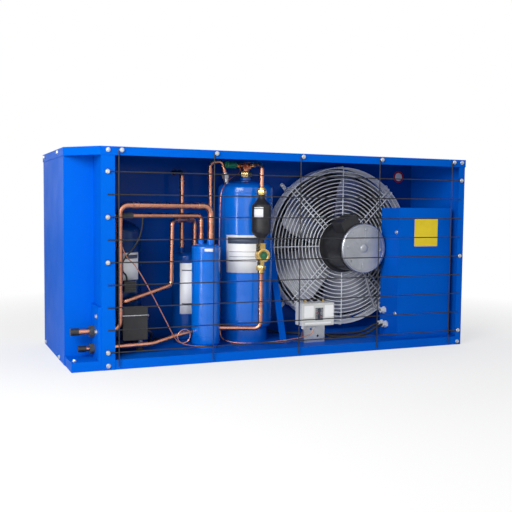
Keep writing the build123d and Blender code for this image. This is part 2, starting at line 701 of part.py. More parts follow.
def sight_glass_body():
    """Brass body of the sight glass, with a round port to the front."""
    low = LOWER_NUT[0] + LOWER_NUT[1]
    high = DRIER_LOW - 28.0
    body = hexagon((LINE_X, LIQUID_LINE_SETBACK, low), (0, 0, 1), 19.0, 12.0)
    body += liquid_upright(9.0, low, GLASS_LEVEL)
    body += liquid_upright(14.0, GLASS_LEVEL - 15, GLASS_LEVEL + 13)
    body += hexagon((LINE_X, LIQUID_LINE_SETBACK, high - 22), (0, 0, 1), 26.0, 22.0)
    body += rod((LINE_X, LIQUID_LINE_SETBACK, GLASS_LEVEL), (0, -1, 0), 19.0, 20.0)
    port = (LINE_X, LIQUID_LINE_SETBACK - 16, GLASS_LEVEL)
    return body - rod(port, (0, -1, 0), 12.0, 5.0)


def sight_glass_lens():
    """Glass disc in the port of the sight glass."""
    return rod((LINE_X, LIQUID_LINE_SETBACK - 16, GLASS_LEVEL), (0, -1, 0), 12.0, 3.0)


# ---------------------------------------------------------------- copper lines

HOT_GAS_X = 356.0
HOT_GAS_LEVEL = CASE_HEIGHT - 50.0
DRAIN_X = 452.0
DRAIN_LEVEL = 80.0
SEPARATOR_IN = (392.0, 196.0)
SEPARATOR_OUT = (356.0, 206.0)
ACCUMULATOR_PORTS = [(404.0, 92.0, SUCTION_R), (384.0, 116.0, LIQUID_R)]
RETURN_X = 126.0
RETURN_Y = 73.0
RETURN_LEVEL = 395.0
HEADER_X = 17.0
HEADER_Y = 402.0


def suction_line():
    """From the suction stub up, along the top and down into the accumulator."""
    x, y, r = ACCUMULATOR_PORTS[0]
    start = RECESS_LENGTH - PLATE_PROUD - 12.0
    points = [(start, STUB_SETBACK, SUCTION_LEVEL), (139.0, STUB_SETBACK, SUCTION_LEVEL),
              (139.0, STUB_SETBACK, 422.0), (x, y, 422.0), (x, y, ACCUMULATOR_TOP)]
    return pipe(points, SUCTION_R, 24.0)


def return_line():
    """From the accumulator back to the compressor's suction port."""
    x, y, r = ACCUMULATOR_PORTS[1]
    seat = COMPRESSOR_Y - COMPRESSOR_R + 0.5
    points = [(x, y, ACCUMULATOR_TOP), (x, y, RETURN_LEVEL), (RETURN_X, RETURN_Y, RETURN_LEVEL),
              (RETURN_X, RETURN_Y, 300.0), (RETURN_X, seat + 4, 300.0)]
    return pipe(points, LIQUID_R, 13.0) - compressor_shell()


def return_sleeve():
    """Grey sleeve on the return line beside the riser."""
    x, y, r = ACCUMULATOR_PORTS[1]
    start, end = Vector(RETURN_X, RETURN_Y, RETURN_LEVEL), Vector(x, y, RETURN_LEVEL)
    along = (end - start).normalized()
    first = start + along * 20.0
    tube = rod(tuple(first), tuple(along), LIQUID_R + 1.6, 34.0)
    return tube - rod(tuple(first - along), tuple(along), LIQUID_R, 40.0)


def discharge_line():
    """From the compressor over to the oil separator, in a tall loop."""
    x, y = SEPARATOR_IN
    points = [(150.0, 100.0, 163.0), (150.0, 79.0, 163.0), (302.0, 134.0, 200.0), (305.0, 135.0, 381.0),
              (x, y, 381.0), (x, y, SEPARATOR_TOP)]
    return pipe(points, LIQUID_R, 13.5) - rod((COMPRESSOR_X, COMPRESSOR_Y, 0), (0, 0, 1), COMPRESSOR_R, 500)


def hot_gas_line():
    """From the oil separator up, through the wall and into the coil's upper header."""
    x, y = SEPARATOR_OUT
    behind = WALL_SETBACK + 42.0
    points = [(x, y, SEPARATOR_TOP), (x, y, HOT_GAS_LEVEL), (x, behind, HOT_GAS_LEVEL),
              (HEADER_X, behind, HOT_GAS_LEVEL), (HEADER_X, HEADER_Y - HEADER_R, HOT_GAS_LEVEL)]
    return pipe(points, LIQUID_R, 16.0)


def condensate_line():
    """From the coil's lower header through the wall and over into the receiver."""
    behind = WALL_SETBACK + 42.0
    direction = Vector(*INLET_TOP) - Vector(*INLET_FOOT)
    top = Vector(*INLET_TOP) + direction.normalized() * 34.0
    points = [(HEADER_X, HEADER_Y - HEADER_R, DRAIN_LEVEL), (HEADER_X, behind, DRAIN_LEVEL),
              (DRAIN_X, behind, DRAIN_LEVEL), (DRAIN_X, 212.0, DRAIN_LEVEL), (437.0, 192.0, INLET_TOP[2] + 29.0),
              tuple(top), INLET_TOP]
    return pipe(points, LIQUID_R, 14.0)


def liquid_line_upper():
    """From the receiver valve forward and down to the drier."""
    start = (RECEIVER_X, RECEIVER_Y - 26, VALVE_Z)
    points = [start, (LINE_X, LIQUID_LINE_SETBACK, VALVE_Z),
              (LINE_X, LIQUID_LINE_SETBACK, UPPER_NUT[0] + 8)]
    return pipe(points, LIQUID_R, 16.0)


def liquid_line_lower():
    """From the sight glass down and back to the heat exchanger's side."""
    edge = ACCUMULATOR_X + ACCUMULATOR_R
    points = [(LINE_X, LIQUID_LINE_SETBACK, LOWER_NUT[0] + 14), (LINE_X, LIQUID_LINE_SETBACK, 74.0),
              (edge - 3, ACCUMULATOR_Y, 76.0)]
    return pipe(points, LIQUID_R, 18.0) - accumulator_wall()


def liquid_out_line():
    """From the heat exchanger's other side to the liquid stub."""
    start = RECESS_LENGTH - PLATE_PROUD - 12.0
    points = [(start, STUB_SETBACK, LIQUID_LEVEL), (120.0, STUB_SETBACK, LIQUID_LEVEL), (228.0, STUB_SETBACK, 51.0),
              (298.0, 80.0, 65.0), (ACCUMULATOR_X - ACCUMULATOR_R + 3, ACCUMULATOR_Y, 71.0)]
    return pipe(points, LIQUID_R, 60.0) - accumulator_wall()


def accumulator_wall():
    return rod((ACCUMULATOR_X, ACCUMULATOR_Y, FLOOR), (0, 0, 1), ACCUMULATOR_R, 280)


def low_capillary():
    """Low-pressure tube from the suction side to the pressure switch, with a spare loop."""
    loop_x, loop_y, loop_z, loop_r = 312.0, 50.0, 68.0, 19.0
    points = [(RETURN_X + LIQUID_R - 0.2, RETURN_Y, 332.0), (144.0, 74.0, 330.0), (158.0, 72.0, 284.0),
              (186.0, 66.0, 262.0), (250.0, 56.0, 140.0),
              (loop_x - 24, 52.0, 62.0), (loop_x - 8, 51.0, loop_z - 21), (loop_x + 17, 49.5, loop_z - 14),
              (loop_x + 20, 48.5, loop_z + 12), (loop_x, 47.5, loop_z + 22), (loop_x - 20, 46.5, loop_z + 6),
              (loop_x - 14, 45.5, loop_z - 18), (350.0, 45.0, 37.0), (470.0, 46.0, 34.5), (610.0, 47.0, 38.0),
              (690.0, 43.0, 48.0), (705.0, 42.0, 60.0), (705.0, 42.0, SWITCH_LEVEL - 10)]
    return thin_pipe(points, CAPILLARY_R, 4.5)


def high_capillary():
    """High-pressure tube from the receiver valve down and along to the pressure switch."""
    x, y, z = on_stem(20.0)
    points = [(x, y, z - 8.7), (x, y, z - 22), (498.0, 160.0, 510.0), (462.0, 150.0, 482.0),
              (450.0, 147.0, 440.0), (450.0, 147.0, 60.0), (458.0, 130.0, 31.0), (520.0, 84.0, 29.0),
              (664.0, 66.0, 29.0), (672.0, 44.0, 45.0), (672.0, 42.0, SWITCH_LEVEL - 10)]
    return thin_pipe(points, CAPILLARY_R, 7.0)


# ---------------------------------------------------------------- pressure switch

def switch_bracket():
    """Galvanised angle: foot on the base, upright plate behind the switch, gusset."""
    back = SWITCH_Y + SWITCH_DEPTH
    high = (BRACKET_X + BRACKET_WIDTH, back + BRACKET_SHEET, FLOOR + BRACKET_HEIGHT)
    angle = block((BRACKET_X, back, FLOOR), high)
    angle += block((BRACKET_X, back, FLOOR), (high[0], back + BRACKET_FOOT, FLOOR + BRACKET_SHEET))
    gusset = make_face(Polyline(spot(BRACKET_X, back, FLOOR), spot(BRACKET_X, back + BRACKET_FOOT, FLOOR),
                                spot(BRACKET_X, back, FLOOR + BRACKET_FOOT + 16), close=True))
    angle += extrude(gusset, amount=BRACKET_SHEET, dir=(1, 0, 0))
    for x, z in ((22.5, 39.0), (45.6, 18.0)):
        angle -= rod((BRACKET_X + x, back - 1, FLOOR + z), (0, 1, 0), 3.5, BRACKET_SHEET + 2)
    return angle - rod((BRACKET_X + 50, back - 1, SWITCH_LEVEL + 22), (0, 1, 0), 7.0, BRACKET_SHEET + 2)


def switch_body():
    """Moulded body of the dual pressure switch, with its two bellows ends below."""
    low = (SWITCH_X, SWITCH_Y + 5, SWITCH_LEVEL)
    high = (SWITCH_X + SWITCH_LENGTH, SWITCH_Y + SWITCH_DEPTH, SWITCH_LEVEL + SWITCH_HEIGHT)
    body = fillet(block(low, high).edges().filter_by(Axis.Y), 3)
    for x in (705.0, 672.0):
        body += rod((x, 42.0, SWITCH_LEVEL), (0, 0, -1), 6.5, 10)
        body -= rod((x, 42.0, SWITCH_LEVEL - 11), (0, 0, 1), CAPILLARY_R, 1)
    for x in SPINDLE_X:
        body -= rod((x, SPINDLE_Y, high[2] - 12), (0, 0, 1), SPINDLE_R + SHAFT_CLEARANCE, 20)
    return body


SPINDLE_X = (SWITCH_X + 22.0, SWITCH_X + 80.0)
SPINDLE_Y = SWITCH_Y + 27.0
SPINDLE_R = 3.0


def switch_cover():
    """Front cover of the switch, with the window over the scales."""
    low = (SWITCH_X, SWITCH_Y, SWITCH_LEVEL)
    high = (SWITCH_X + SWITCH_LENGTH, SWITCH_Y + 5, SWITCH_LEVEL + SWITCH_HEIGHT)
    cover = fillet(block(low, high).edges().filter_by(Axis.Y), 3)
    cover = chamfer(cover.faces().sort_by(Axis.Y)[0].edges(), 1.5)
    return cover - block((700.0, SWITCH_Y - 1, 96.0), (726.0, SWITCH_Y + 4, 132.0))


def switch_window():
    """Clear window in the switch cover."""
    return block((700.0, SWITCH_Y + 1.5, 96.0), (726.0, SWITCH_Y + 4, 132.0))


def switch_spindle(x):
    """Adjusting spindle with a square head and a slot."""
    top = SWITCH_LEVEL + SWITCH_HEIGHT
    shaft = rod((x, SPINDLE_Y, top - 11.7), (0, 0, 1), SPINDLE_R, 13.5)
    head = block((x - 3.2, SPINDLE_Y - 3.2, top + 1.0), (x + 3.2, SPINDLE_Y + 3.2, top + 8.0))
    return shaft + head - block((x - 4, SPINDLE_Y - 0.6, top + 6.5), (x + 4, SPINDLE_Y + 0.6, top + 9))


# ---------------------------------------------------------------- electrical box

def box_body():
    """Open-fronted steel box, with holes for the two cable glands."""
    low = (BOX_X, BOX_Y + BOX_SHEET, FLOOR)
    high = (BOX_X + BOX_LENGTH, BOX_Y + BOX_DEPTH, BOX_TOP)
    body = block(low, high)
    body -= block((low[0] + BOX_SHEET, low[1] - 1, low[2] + BOX_SHEET),
                  (high[0] - BOX_SHEET, high[1] - BOX_SHEET, high[2] - BOX_SHEET))
    for y, z in GLANDS:
        body -= rod((BOX_X - 1, y, z), (1, 0, 0), GLAND_R, 4)
    return body


GLANDS = ((92.0, 61.0), (104.0, 104.0), (115.0, 61.0))
GLAND_R = 6.0


def box_cover():
    """Folded front cover that wraps over the left side and the top of the box."""
    high = (BOX_X + BOX_LENGTH, BOX_Y + BOX_SHEET, BOX_TOP + BOX_SHEET)
    left = BOX_X - BOX_SHEET
    cover = block((left, BOX_Y, FLOOR), high)
    cover += block((left, BOX_Y, FLOOR), (BOX_X, BOX_Y + BOX_COVER_SIDE, BOX_TOP + BOX_SHEET))
    cover += block((left, BOX_Y, BOX_TOP), (high[0], BOX_Y + BOX_COVER_SIDE, BOX_TOP + BOX_SHEET))
    return cover


def box_inner_face():
    return BOX_Y + BOX_DEPTH - BOX_SHEET


def din_rail():
    """Top-hat rail on the back of the box."""
    back = box_inner_face()
    rail = block((BOX_X + 20, back - 1.5, 250.0), (BOX_X + 166, back, 285.0))
    rail -= block((BOX_X + 10, back - 5, 260.0), (BOX_X + 176, back + 1, 275.0))
    hat = block((BOX_X + 20, back - 7.5, 254.0), (BOX_X + 166, back, 281.0))
    hat -= block((BOX_X + 10, back - 6, 255.5), (BOX_X + 176, back + 1, 279.5))
    return rail.fuse(hat)


def contactor():
    """Contactor on the rail."""
    back = box_inner_face() - 7.5
    body = block((BOX_X + 30, back - 48, 232.0), (BOX_X + 75, back, 306.0))
    body += block((BOX_X + 34, back - 62, 246.0), (BOX_X + 71, back - 48, 292.0))
    for i in range(3):
        x = BOX_X + 36 + 13 * i
        body -= block((x, back - 49, 296.0), (x + 7, back - 40, 307.0))
        body -= block((x, back - 49, 231.0), (x + 7, back - 40, 242.0))
    return body


def terminal_strip():
    """Row of terminals on the rail."""
    back = box_inner_face() - 7.5
    solids = [block((BOX_X + 86 + 9.5 * i, back - 38, 245.0), (BOX_X + 95 + 9.5 * i, back, 290.0))
              for i in range(7)]
    return group(solids)


def run_capacitor():
    """Fan capacitor, clipped to the back of the box."""
    back = box_inner_face()
    can = rod((BOX_X + 50, back - 21, 120.0), (0, 0, 1), 18.0, 72.0)
    clip = block((BOX_X + 34, back - 3, 146.0), (BOX_X + 66, back, 162.0))
    return can + clip + block((BOX_X + 44, back - 12, 150.0), (BOX_X + 56, back, 158.0))


def cable_glands():
    """Glands in the left side of the box."""
    solids = []
    for y, z in GLANDS:
        gland = rod((BOX_X + 4, y, z), (-1, 0, 0), GLAND_R, 4.0 + BOX_SHEET)
        gland += hexagon((BOX_X, y, z), (-1, 0, 0), 19.0, 6.0)
        gland += rod((BOX_X - 6, y, z), (-1, 0, 0), 8.0, 9.0)
        gland -= rod((BOX_X + 5, y, z), (-1, 0, 0), CABLE_R, 30)
        solids.append(gland)
    return group(solids)


CABLE_R = 3.6
SENSOR_LEAD_R = 2.2


def switch_cable():
    """Cable along the floor from the box to the pressure switch."""
    y, z = GLANDS[0]
    x = BRACKET_X + 50
    back = SWITCH_Y + SWITCH_DEPTH
    points = [(BOX_X + 3, y, z), (BOX_X - 28, y, z), (918.0, 88.0, 36.0), (868.0, 84.0, 30.5),
              (812.0, 92.0, 30.5), (772.0, 88.0, 36.0), (x + 4, 90.0, 66.0), (x, 86.0, SWITCH_LEVEL + 22),
              (x, back, SWITCH_LEVEL + 22)]
    return thin_pipe(points, CABLE_R, 9.0)


def compressor_cable():
    """Cable along the foot of the wall to the compressor's terminal housing."""
    y, z = GLANDS[2]
    points = [(BOX_X + 3, y, z), (BOX_X - 28, y, z), (926.0, 122.0, 38.0), (880.0, 128.0, 31.0),
              (800.0, 146.0, 31.0), (716.0, 190.0, 31.0),
              (660.0, 262.0, 31.0), (570.0, 276.0, 31.0), (470.0, 276.0, 31.0), (370.0, 268.0, 31.0),
              (290.0, 240.0, 31.0), (250.0, 190.0, 33.0), (241.0, 130.0, 50.0), (240.0, 100.0, 80.0),
              (TERMINAL_HIGH[0] - 3, 100.0, 80.0)]
    return thin_pipe(points, CABLE_R, 8.0)


def motor_cable():
    """Sleeved lead from the fan motor to the box."""
    y, z = GLANDS[1]
    points = [(FAN_OFFSET + 22, 128.0, FAN_LEVEL - 66), (FAN_OFFSET + 26, 126.0, FAN_LEVEL - 100),
              (FAN_OFFSET + 40, 116.0, FAN_LEVEL - 160), (BOX_X - 30, y, z), (BOX_X + 3, y, z)]
    can = rod((FAN_OFFSET, MOTOR_FRONT, FAN_LEVEL), (0, 1, 0), MOTOR_R, 80)
    return pipe(points, CABLE_R, 16.0) - can


# ---------------------------------------------------------------- fan and motor

def ring(radius, setback, width, depth):
    """A hoop of square wire round the fan axis, in short straight sides."""
    plane = Plane(origin=spot(FAN_OFFSET, setback, FAN_LEVEL), z_dir=(0, 1, 0))
    sides = RegularPolygon(radius + width / 2, HOOP_SIDES) - RegularPolygon(radius - width / 2, HOOP_SIDES)
    return extrude(plane * sides, amount=depth)


def spoke(angle, offset, inner):
    """A wire from the inner hoop over the corner and back to the wall."""
    front = WALL_SETBACK - GUARD_DEPTH - GUARD_WIRE
    outer = GUARD_R + GUARD_WIRE / 2
    half = GUARD_WIRE / 2
    bar = Box(outer + GUARD_WIRE - inner, GUARD_WIRE, GUARD_WIRE, align=(Align.MIN, Align.MIN, Align.CENTER))
    bar = Pos(inner, front, offset) * bar
    leg = Box(GUARD_WIRE, GUARD_DEPTH + GUARD_WIRE, GUARD_WIRE, align=(Align.MIN, Align.MIN, Align.CENTER))
    leg = Pos(outer, front, offset) * leg
    return Pos(FAN_X, FRONT, FAN_LEVEL) * Rot(0, -angle, 0) * (bar + leg)


def lug(angle):
    """Flat eye that takes the guard's screw on the wall."""
    outer = GUARD_R + GUARD_WIRE
    plate = Box(LUG_REACH, 2.0, 12.0, align=(Align.MIN, Align.MAX, Align.CENTER))
    plate = Pos(outer, WALL_SETBACK, 0) * plate
    tie = Pos(outer - GUARD_WIRE / 2, WALL_SETBACK - GUARD_WIRE, 0) * Box(
        GUARD_WIRE, GUARD_WIRE, GUARD_PAIR + GUARD_WIRE, align=(Align.MIN, Align.MIN, Align.CENTER))
    return Pos(FAN_X, FRONT, FAN_LEVEL) * Rot(0, -angle, 0) * (plate + tie)


def fan_guard():
    """Welded wire guard: hoops across the front, a skirt of hoops and twelve spokes."""
    front = WALL_SETBACK - GUARD_DEPTH
    pitch = (GUARD_R - GUARD_INNER_R) / GUARD_RINGS
    pieces = [ring(GUARD_INNER_R + i * pitch, front, GUARD_WIRE, GUARD_WIRE) for i in range(GUARD_RINGS + 1)]
    step = (GUARD_DEPTH - 2 * GUARD_WIRE) / GUARD_SKIRT_RINGS
    for i in range(1, GUARD_SKIRT_RINGS + 1):
        pieces.append(ring(GUARD_R, front + i * step, GUARD_WIRE, GUARD_WIRE))
    inner = GUARD_INNER_R - 2
    for angle in (0, 90, 180, 270):
        pieces.append(spoke(angle, 0, inner))
    for angle in (45, 135, 225, 315):
        pieces += [spoke(angle, -GUARD_PAIR / 2, inner), spoke(angle, GUARD_PAIR / 2, inner), lug(angle)]
    return pieces[0].fuse(*pieces[1:])


def fan_guard_screws():
    """Screws through the guard's lugs."""
    reach = GUARD_R + GUARD_WIRE + LUG_REACH - 8
    heads = []
    for angle in (45, 135, 225, 315):
        x = FAN_OFFSET + reach * math.cos(math.radians(angle))
        z = FAN_LEVEL + reach * math.sin(math.radians(angle))
        heads.append(screw(x, WALL_SETBACK - 2.0, z, (0, -1, 0)))
    return group(heads)


MOTOR_BACK = WALL_SETBACK - GUARD_DEPTH - GUARD_WIRE


def motor_body():
    """Motor can with a shallow step and the rear flange that the guard carries."""
    start = MOTOR_FRONT + MOTOR_CAP
    can = rod((FAN_OFFSET, start, FAN_LEVEL), (0, 1, 0), MOTOR_R, MOTOR_BACK - start)
    can += rod((FAN_OFFSET, MOTOR_BACK - MOTOR_FLANGE, FAN_LEVEL), (0, 1, 0), MOTOR_FLANGE_R, MOTOR_FLANGE)
    can += rod((FAN_OFFSET, start + 12, FAN_LEVEL), (0, 1, 0), MOTOR_R + 1.5, 6)
    bore = SHAFT_R + SHAFT_CLEARANCE
    can -= rod((FAN_OFFSET, MOTOR_BACK - 40, FAN_LEVEL), (0, 1, 0), bore, 60)
    return can - motor_terminal_box()


def motor_end_shield():
    """Cast aluminium end shield with a centre cap."""
    shield = rod((FAN_OFFSET, MOTOR_FRONT, FAN_LEVEL), (0, 1, 0), MOTOR_R + 2.0, MOTOR_CAP)
    front_edge = shield.edges().sort_by(Axis.Y)[0]
    shield = chamfer(front_edge, 2.5)
    groove = rod((FAN_OFFSET, MOTOR_FRONT - 1, FAN_LEVEL), (0, 1, 0), 16.5, 2.2)
    groove -= rod((FAN_OFFSET, MOTOR_FRONT - 1, FAN_LEVEL), (0, 1, 0), 14.5, 2.2)
    shield -= groove
    for i in range(4):
        angle = math.radians(40 + 90 * i)
        x, z = FAN_OFFSET + 60 * math.cos(angle), FAN_LEVEL + 60 * math.sin(angle)
        shield -= rod((x, MOTOR_FRONT - 1, z), (0, 1, 0), 3.0, 5)
    return shield


def motor_terminal_box():
    """Moulded terminal box high on the left of the motor can."""
    size = (60.0, 62.0, 50.0)
    solid = Box(*size, align=(Align.CENTER, Align.MIN, Align.MIN))
    solid = fillet(solid.edges().filter_by(Axis.Y), 7)
    solid = Pos(0, MOTOR_FRONT + MOTOR_CAP + 6, 55.0) * solid
    return Pos(FAN_X, FRONT, FAN_LEVEL) * Rot(0, -28, 0) * solid


def fan_shaft():
    """Motor shaft that carries the hub."""
    start = MOTOR_BACK - 39.0
    return rod((FAN_OFFSET, start, FAN_LEVEL), (0, 1, 0), SHAFT_R, BLADE_MID + HUB_LENGTH / 2 + 4 - start)


def fan_hub():
    """Pressed hub with a rounded nose, clamped on the shaft."""
    start = BLADE_MID - HUB_LENGTH / 2
    hub = rod((FAN_OFFSET, start, FAN_LEVEL), (0, 1, 0), HUB_R, HUB_LENGTH)
    hub = chamfer(hub.edges().filter_by(GeomType.CIRCLE).sort_by(Axis.Y)[-1], 7)
    hub -= rod((FAN_OFFSET, start - 1, FAN_LEVEL), (0, 1, 0), HUB_R - 5, HUB_LENGTH - 9)
    hub += rod((FAN_OFFSET, start, FAN_LEVEL), (0, 1, 0), 16.0, HUB_LENGTH)
    return hub - rod((FAN_OFFSET, start - 2, FAN_LEVEL), (0, 1, 0), SHAFT_R, HUB_LENGTH + 4)


def blade():
    """One cambered blade, pointing up from the axis at the origin, flow along +Y."""
    camber = 260.0
    with BuildSketch(Plane.XZ) as plan:
        with BuildLine():
            Polyline((-46, HUB_R - 6), (46, HUB_R - 6), (58, 120), (104, BLADE_R + 20), (-70, BLADE_R + 20),
                     (-78, 170), (-62, 110), (-46, HUB_R - 6))
        make_face()
    outline = extrude(plan.sketch, amount=60, both=True)
    shell = Cylinder(camber, 2 * BLADE_R + 80) - Cylinder(camber - BLADE_THICKNESS, 2 * BLADE_R + 80)
    shell = Pos(0, camber - 12, 0) * shell
    sheet = Rot(0, 0, BLADE_PITCH) * (shell & Pos(0, 0, 130) * Box(230, 70, 300))
    return sheet & outline


def fan_blades():
    """Aluminium blades set round the hub, trimmed to the fan's circle."""
    one = blade()
    trim = Rot(90, 0, 0) * (Cylinder(BLADE_R, 200) - Cylinder(HUB_R, 200))
    one = one & trim
    solids = []
    for i in range(BLADE_COUNT):
        turned_blade = Rot(0, 360 / BLADE_COUNT * i + 20, 0) * one
        solids.append(Pos(FAN_X, FRONT + BLADE_MID, FAN_LEVEL) * turned_blade)
    return group(s for item in solids for s in item.solids())


# ---------------------------------------------------------------- condenser coil

COIL_BACK = CASE_DEPTH - 2 * SHEET
COIL_FRONT = COIL_BACK - COIL_DEPTH
COIL_LEFT = 2 * SHEET + COIL_MARGIN
COIL_RIGHT = CASE_LENGTH - COIL_LEFT


def tube_places():
    for row in range(COIL_ROWS):
        y = COIL_FRONT + COIL_DEPTH / 2 + (row - 0.5) * COIL_ROW_PITCH
        for i in range(COIL_TUBES):
            yield row, y, FLOOR + 45 + i * COIL_TUBE_PITCH + row * 12


def coil_fins():
    """Block of fins on its tubes; slots stand for the gaps between the fins."""
    low = (COIL_LEFT, COIL_FRONT + 4, FLOOR + 16)
    high = (COIL_RIGHT, COIL_BACK - 4, ROOF - 14)
    fins = block(low, high)
    pitch = (high[0] - low[0]) / COIL_SLOTS
    slots = []
    for i in range(COIL_SLOTS):
        x = low[0] + (i + 0.5) * pitch
        slots.append(block((x - 1.5, low[1] - 1, low[2] + 4), (x + 1.5, low[1] + 9, high[2] - 4)))
        slots.append(block((x - 1.5, high[1] - 9, low[2] + 4), (x + 1.5, high[1] + 1, high[2] - 4)))
    return fins.cut(*slots)


def coil_frame():
    """End plates with channels across the top and the bottom of the fins."""
    frame = None
    for x in (COIL_LEFT - SHEET, COIL_RIGHT):
        plate = block((x, COIL_FRONT, FLOOR), (x + SHEET, COIL_BACK, ROOF))
        frame = plate if frame is None else frame + plate
    for low, high in ((FLOOR, FLOOR + 16), (ROOF - 14, ROOF)):
        channel = block((COIL_LEFT, COIL_FRONT, low), (COIL_RIGHT, COIL_BACK, high))
        hollow_low = low + SHEET if low == FLOOR else low - 1
        hollow_high = high + 1 if low == FLOOR else high - SHEET
        channel -= block((COIL_LEFT - 1, COIL_FRONT + SHEET, hollow_low),
                         (COIL_RIGHT + 1, COIL_BACK - SHEET, hollow_high))
        inner = block((COIL_LEFT, COIL_FRONT + 4, low), (COIL_RIGHT, COIL_BACK - 4, high))
        channel += inner - block((COIL_LEFT - 1, COIL_FRONT + 4 + SHEET, low - 1),
                                 (COIL_RIGHT + 1, COIL_BACK - 4 - SHEET, high + 1))
        frame += channel
    return frame


def coil_bends():
    """Return bends outside the end plates, joining pairs of tubes."""
    solids = []
    places = list(tube_places())
    for side, x in ((-1, COIL_LEFT - SHEET), (1, COIL_RIGHT + SHEET)):
        for row, y, z in places:
            index = round((z - FLOOR - 45 - row * 12) / COIL_TUBE_PITCH)
            joined = index % 2 == (0 if side > 0 else 1)
            if not joined or index + 1 >= COIL_TUBES:
                continue
            reach = side * 21.0
            path = [(x, y, z), (x + reach, y, z), (x + reach, y, z + COIL_TUBE_PITCH), (x, y, z + COIL_TUBE_PITCH)]
            solids.append(thin_pipe(path, COIL_TUBE_R, 15.0))
    return group(solids)


def coil_headers():
    """Gas and liquid headers beside the left end plate, with their stub feeds."""
    solids = []
    for low, high, level in ((HOT_GAS_LEVEL - 190, HOT_GAS_LEVEL + 18, HOT_GAS_LEVEL),
                             (DRAIN_LEVEL - 22, DRAIN_LEVEL + 150, DRAIN_LEVEL)):
        header = rod((HEADER_X, HEADER_Y, low), (0, 0, 1), HEADER_R, high - low)
        for z in (level, (low + high) / 2):
            header += rod((HEADER_X, HEADER_Y, z), (1, 0, 0), COIL_TUBE_R, COIL_LEFT - SHEET - HEADER_X)
        solids.append(header)
    return group(solids)


# ---------------------------------------------------------------- floor fasteners

def floor_screws():
    """Screws of the brace, the box and the switch bracket, and the bolt in the recess."""
    up = (0, 0, 1)
    places = [(BRACE_X + BRACE_WIDTH / 2, BRACE_FOOT_Y - 12, FLOOR + 2.0, up),
              (BRACKET_X + 20, SWITCH_Y + SWITCH_DEPTH + 22, FLOOR + BRACKET_SHEET, up),
              (BRACKET_X + 48, SWITCH_Y + SWITCH_DEPTH + 22, FLOOR + BRACKET_SHEET, up),
              (BOX_X - BOX_SHEET, BOX_Y + 13, 348.0, (-1, 0, 0)), (BOX_X - BOX_SHEET, BOX_Y + 13, 100.0, (-1, 0, 0)),
              (14.0, 24.0, FLOOR, up),
              (BRACE_X + BRACE_WIDTH / 2, WALL_SETBACK - 2.0, BRACE_TOP + 12, (0, -1, 0))]
    for z in (FLOOR + 72, FLOOR + 112):
        places.append((RECESS_LENGTH - PLATE_PROUD, 26.0, z, (-1, 0, 0)))
    return group(screw(*p) for p in places)


# ---------------------------------------------------------------- nodes of several pieces

def panel_screws():
    """All the flange-head screws of the casing, the guards and the floor."""
    sets = [case_screws(), guard_screws(), floor_screws(), fan_guard_screws()]
    return group(solid for item in sets for solid in item.solids())


def suction_stub():
    return stub(SUCTION_STUB_END, SUCTION_LEVEL, SUCTION_R)


def liquid_stub():
    return stub(LIQUID_STUB_END, LIQUID_LEVEL, LIQUID_R)


def suction_cap():
    return cap(SUCTION_STUB_END, SUCTION_LEVEL, SUCTION_R)


def liquid_cap():
    return cap(LIQUID_STUB_END, LIQUID_LEVEL, LIQUID_R)


def pipe_sleeves():
    """Foam sleeves of the two stubs and the grey sleeve on the return line."""
    return group([sleeve(SUCTION_LEVEL, SUCTION_SLEEVE_R, SUCTION_R), sleeve(LIQUID_LEVEL, LIQUID_SLEEVE_R, LIQUID_R),
                  return_sleeve()])


def union_nuts():
    """Flare nuts of the liquid line, the valve's union nut and its packing nut."""
    return group([*flare_nuts().solids(), receiver_valve_nut(), receiver_valve_gland()])


def liquid_lines():
    return group([liquid_line_upper(), liquid_line_lower(), liquid_out_line()])


def capillaries():
    return group([low_capillary(), high_capillary()])


def cutin_spindle():
    return switch_spindle(SPINDLE_X[0])


def cutout_spindle():
    return switch_spindle(SPINDLE_X[1])


def box_electrics():
    """What the box holds: rail, contactor, terminals and the fan's capacitor."""
    return group([din_rail(), contactor(), run_capacitor(), *terminal_strip().solids()])


def sensor_cable():
    """Thin lead from the sensor under the return line to the compressor's thermostat."""
    points = [(208.0, 87.0, RETURN_LEVEL - LIQUID_R), (208.0, 84.0, 366.0), (190.0, 74.0, 318.0), (146.0, 78.0, 270.0),
              (152.0, 80.0, 244.0), (166.0, 90.0, 234.0), (166.0, 90.0, 218.0)]
    return thin_pipe(points, SENSOR_LEAD_R, 8.0)


def cables():
    """The unit's four leads, all held at both ends."""
    return group([switch_cable(), compressor_cable(), motor_cable(), sensor_cable()])


def fan_hub_on_shaft():
    return group([fan_hub(), fan_shaft()])


def coil_tubes():
    return group([*coil_bends().solids(), *coil_headers().solids()])


# ---------------------------------------------------------------- write the nodes

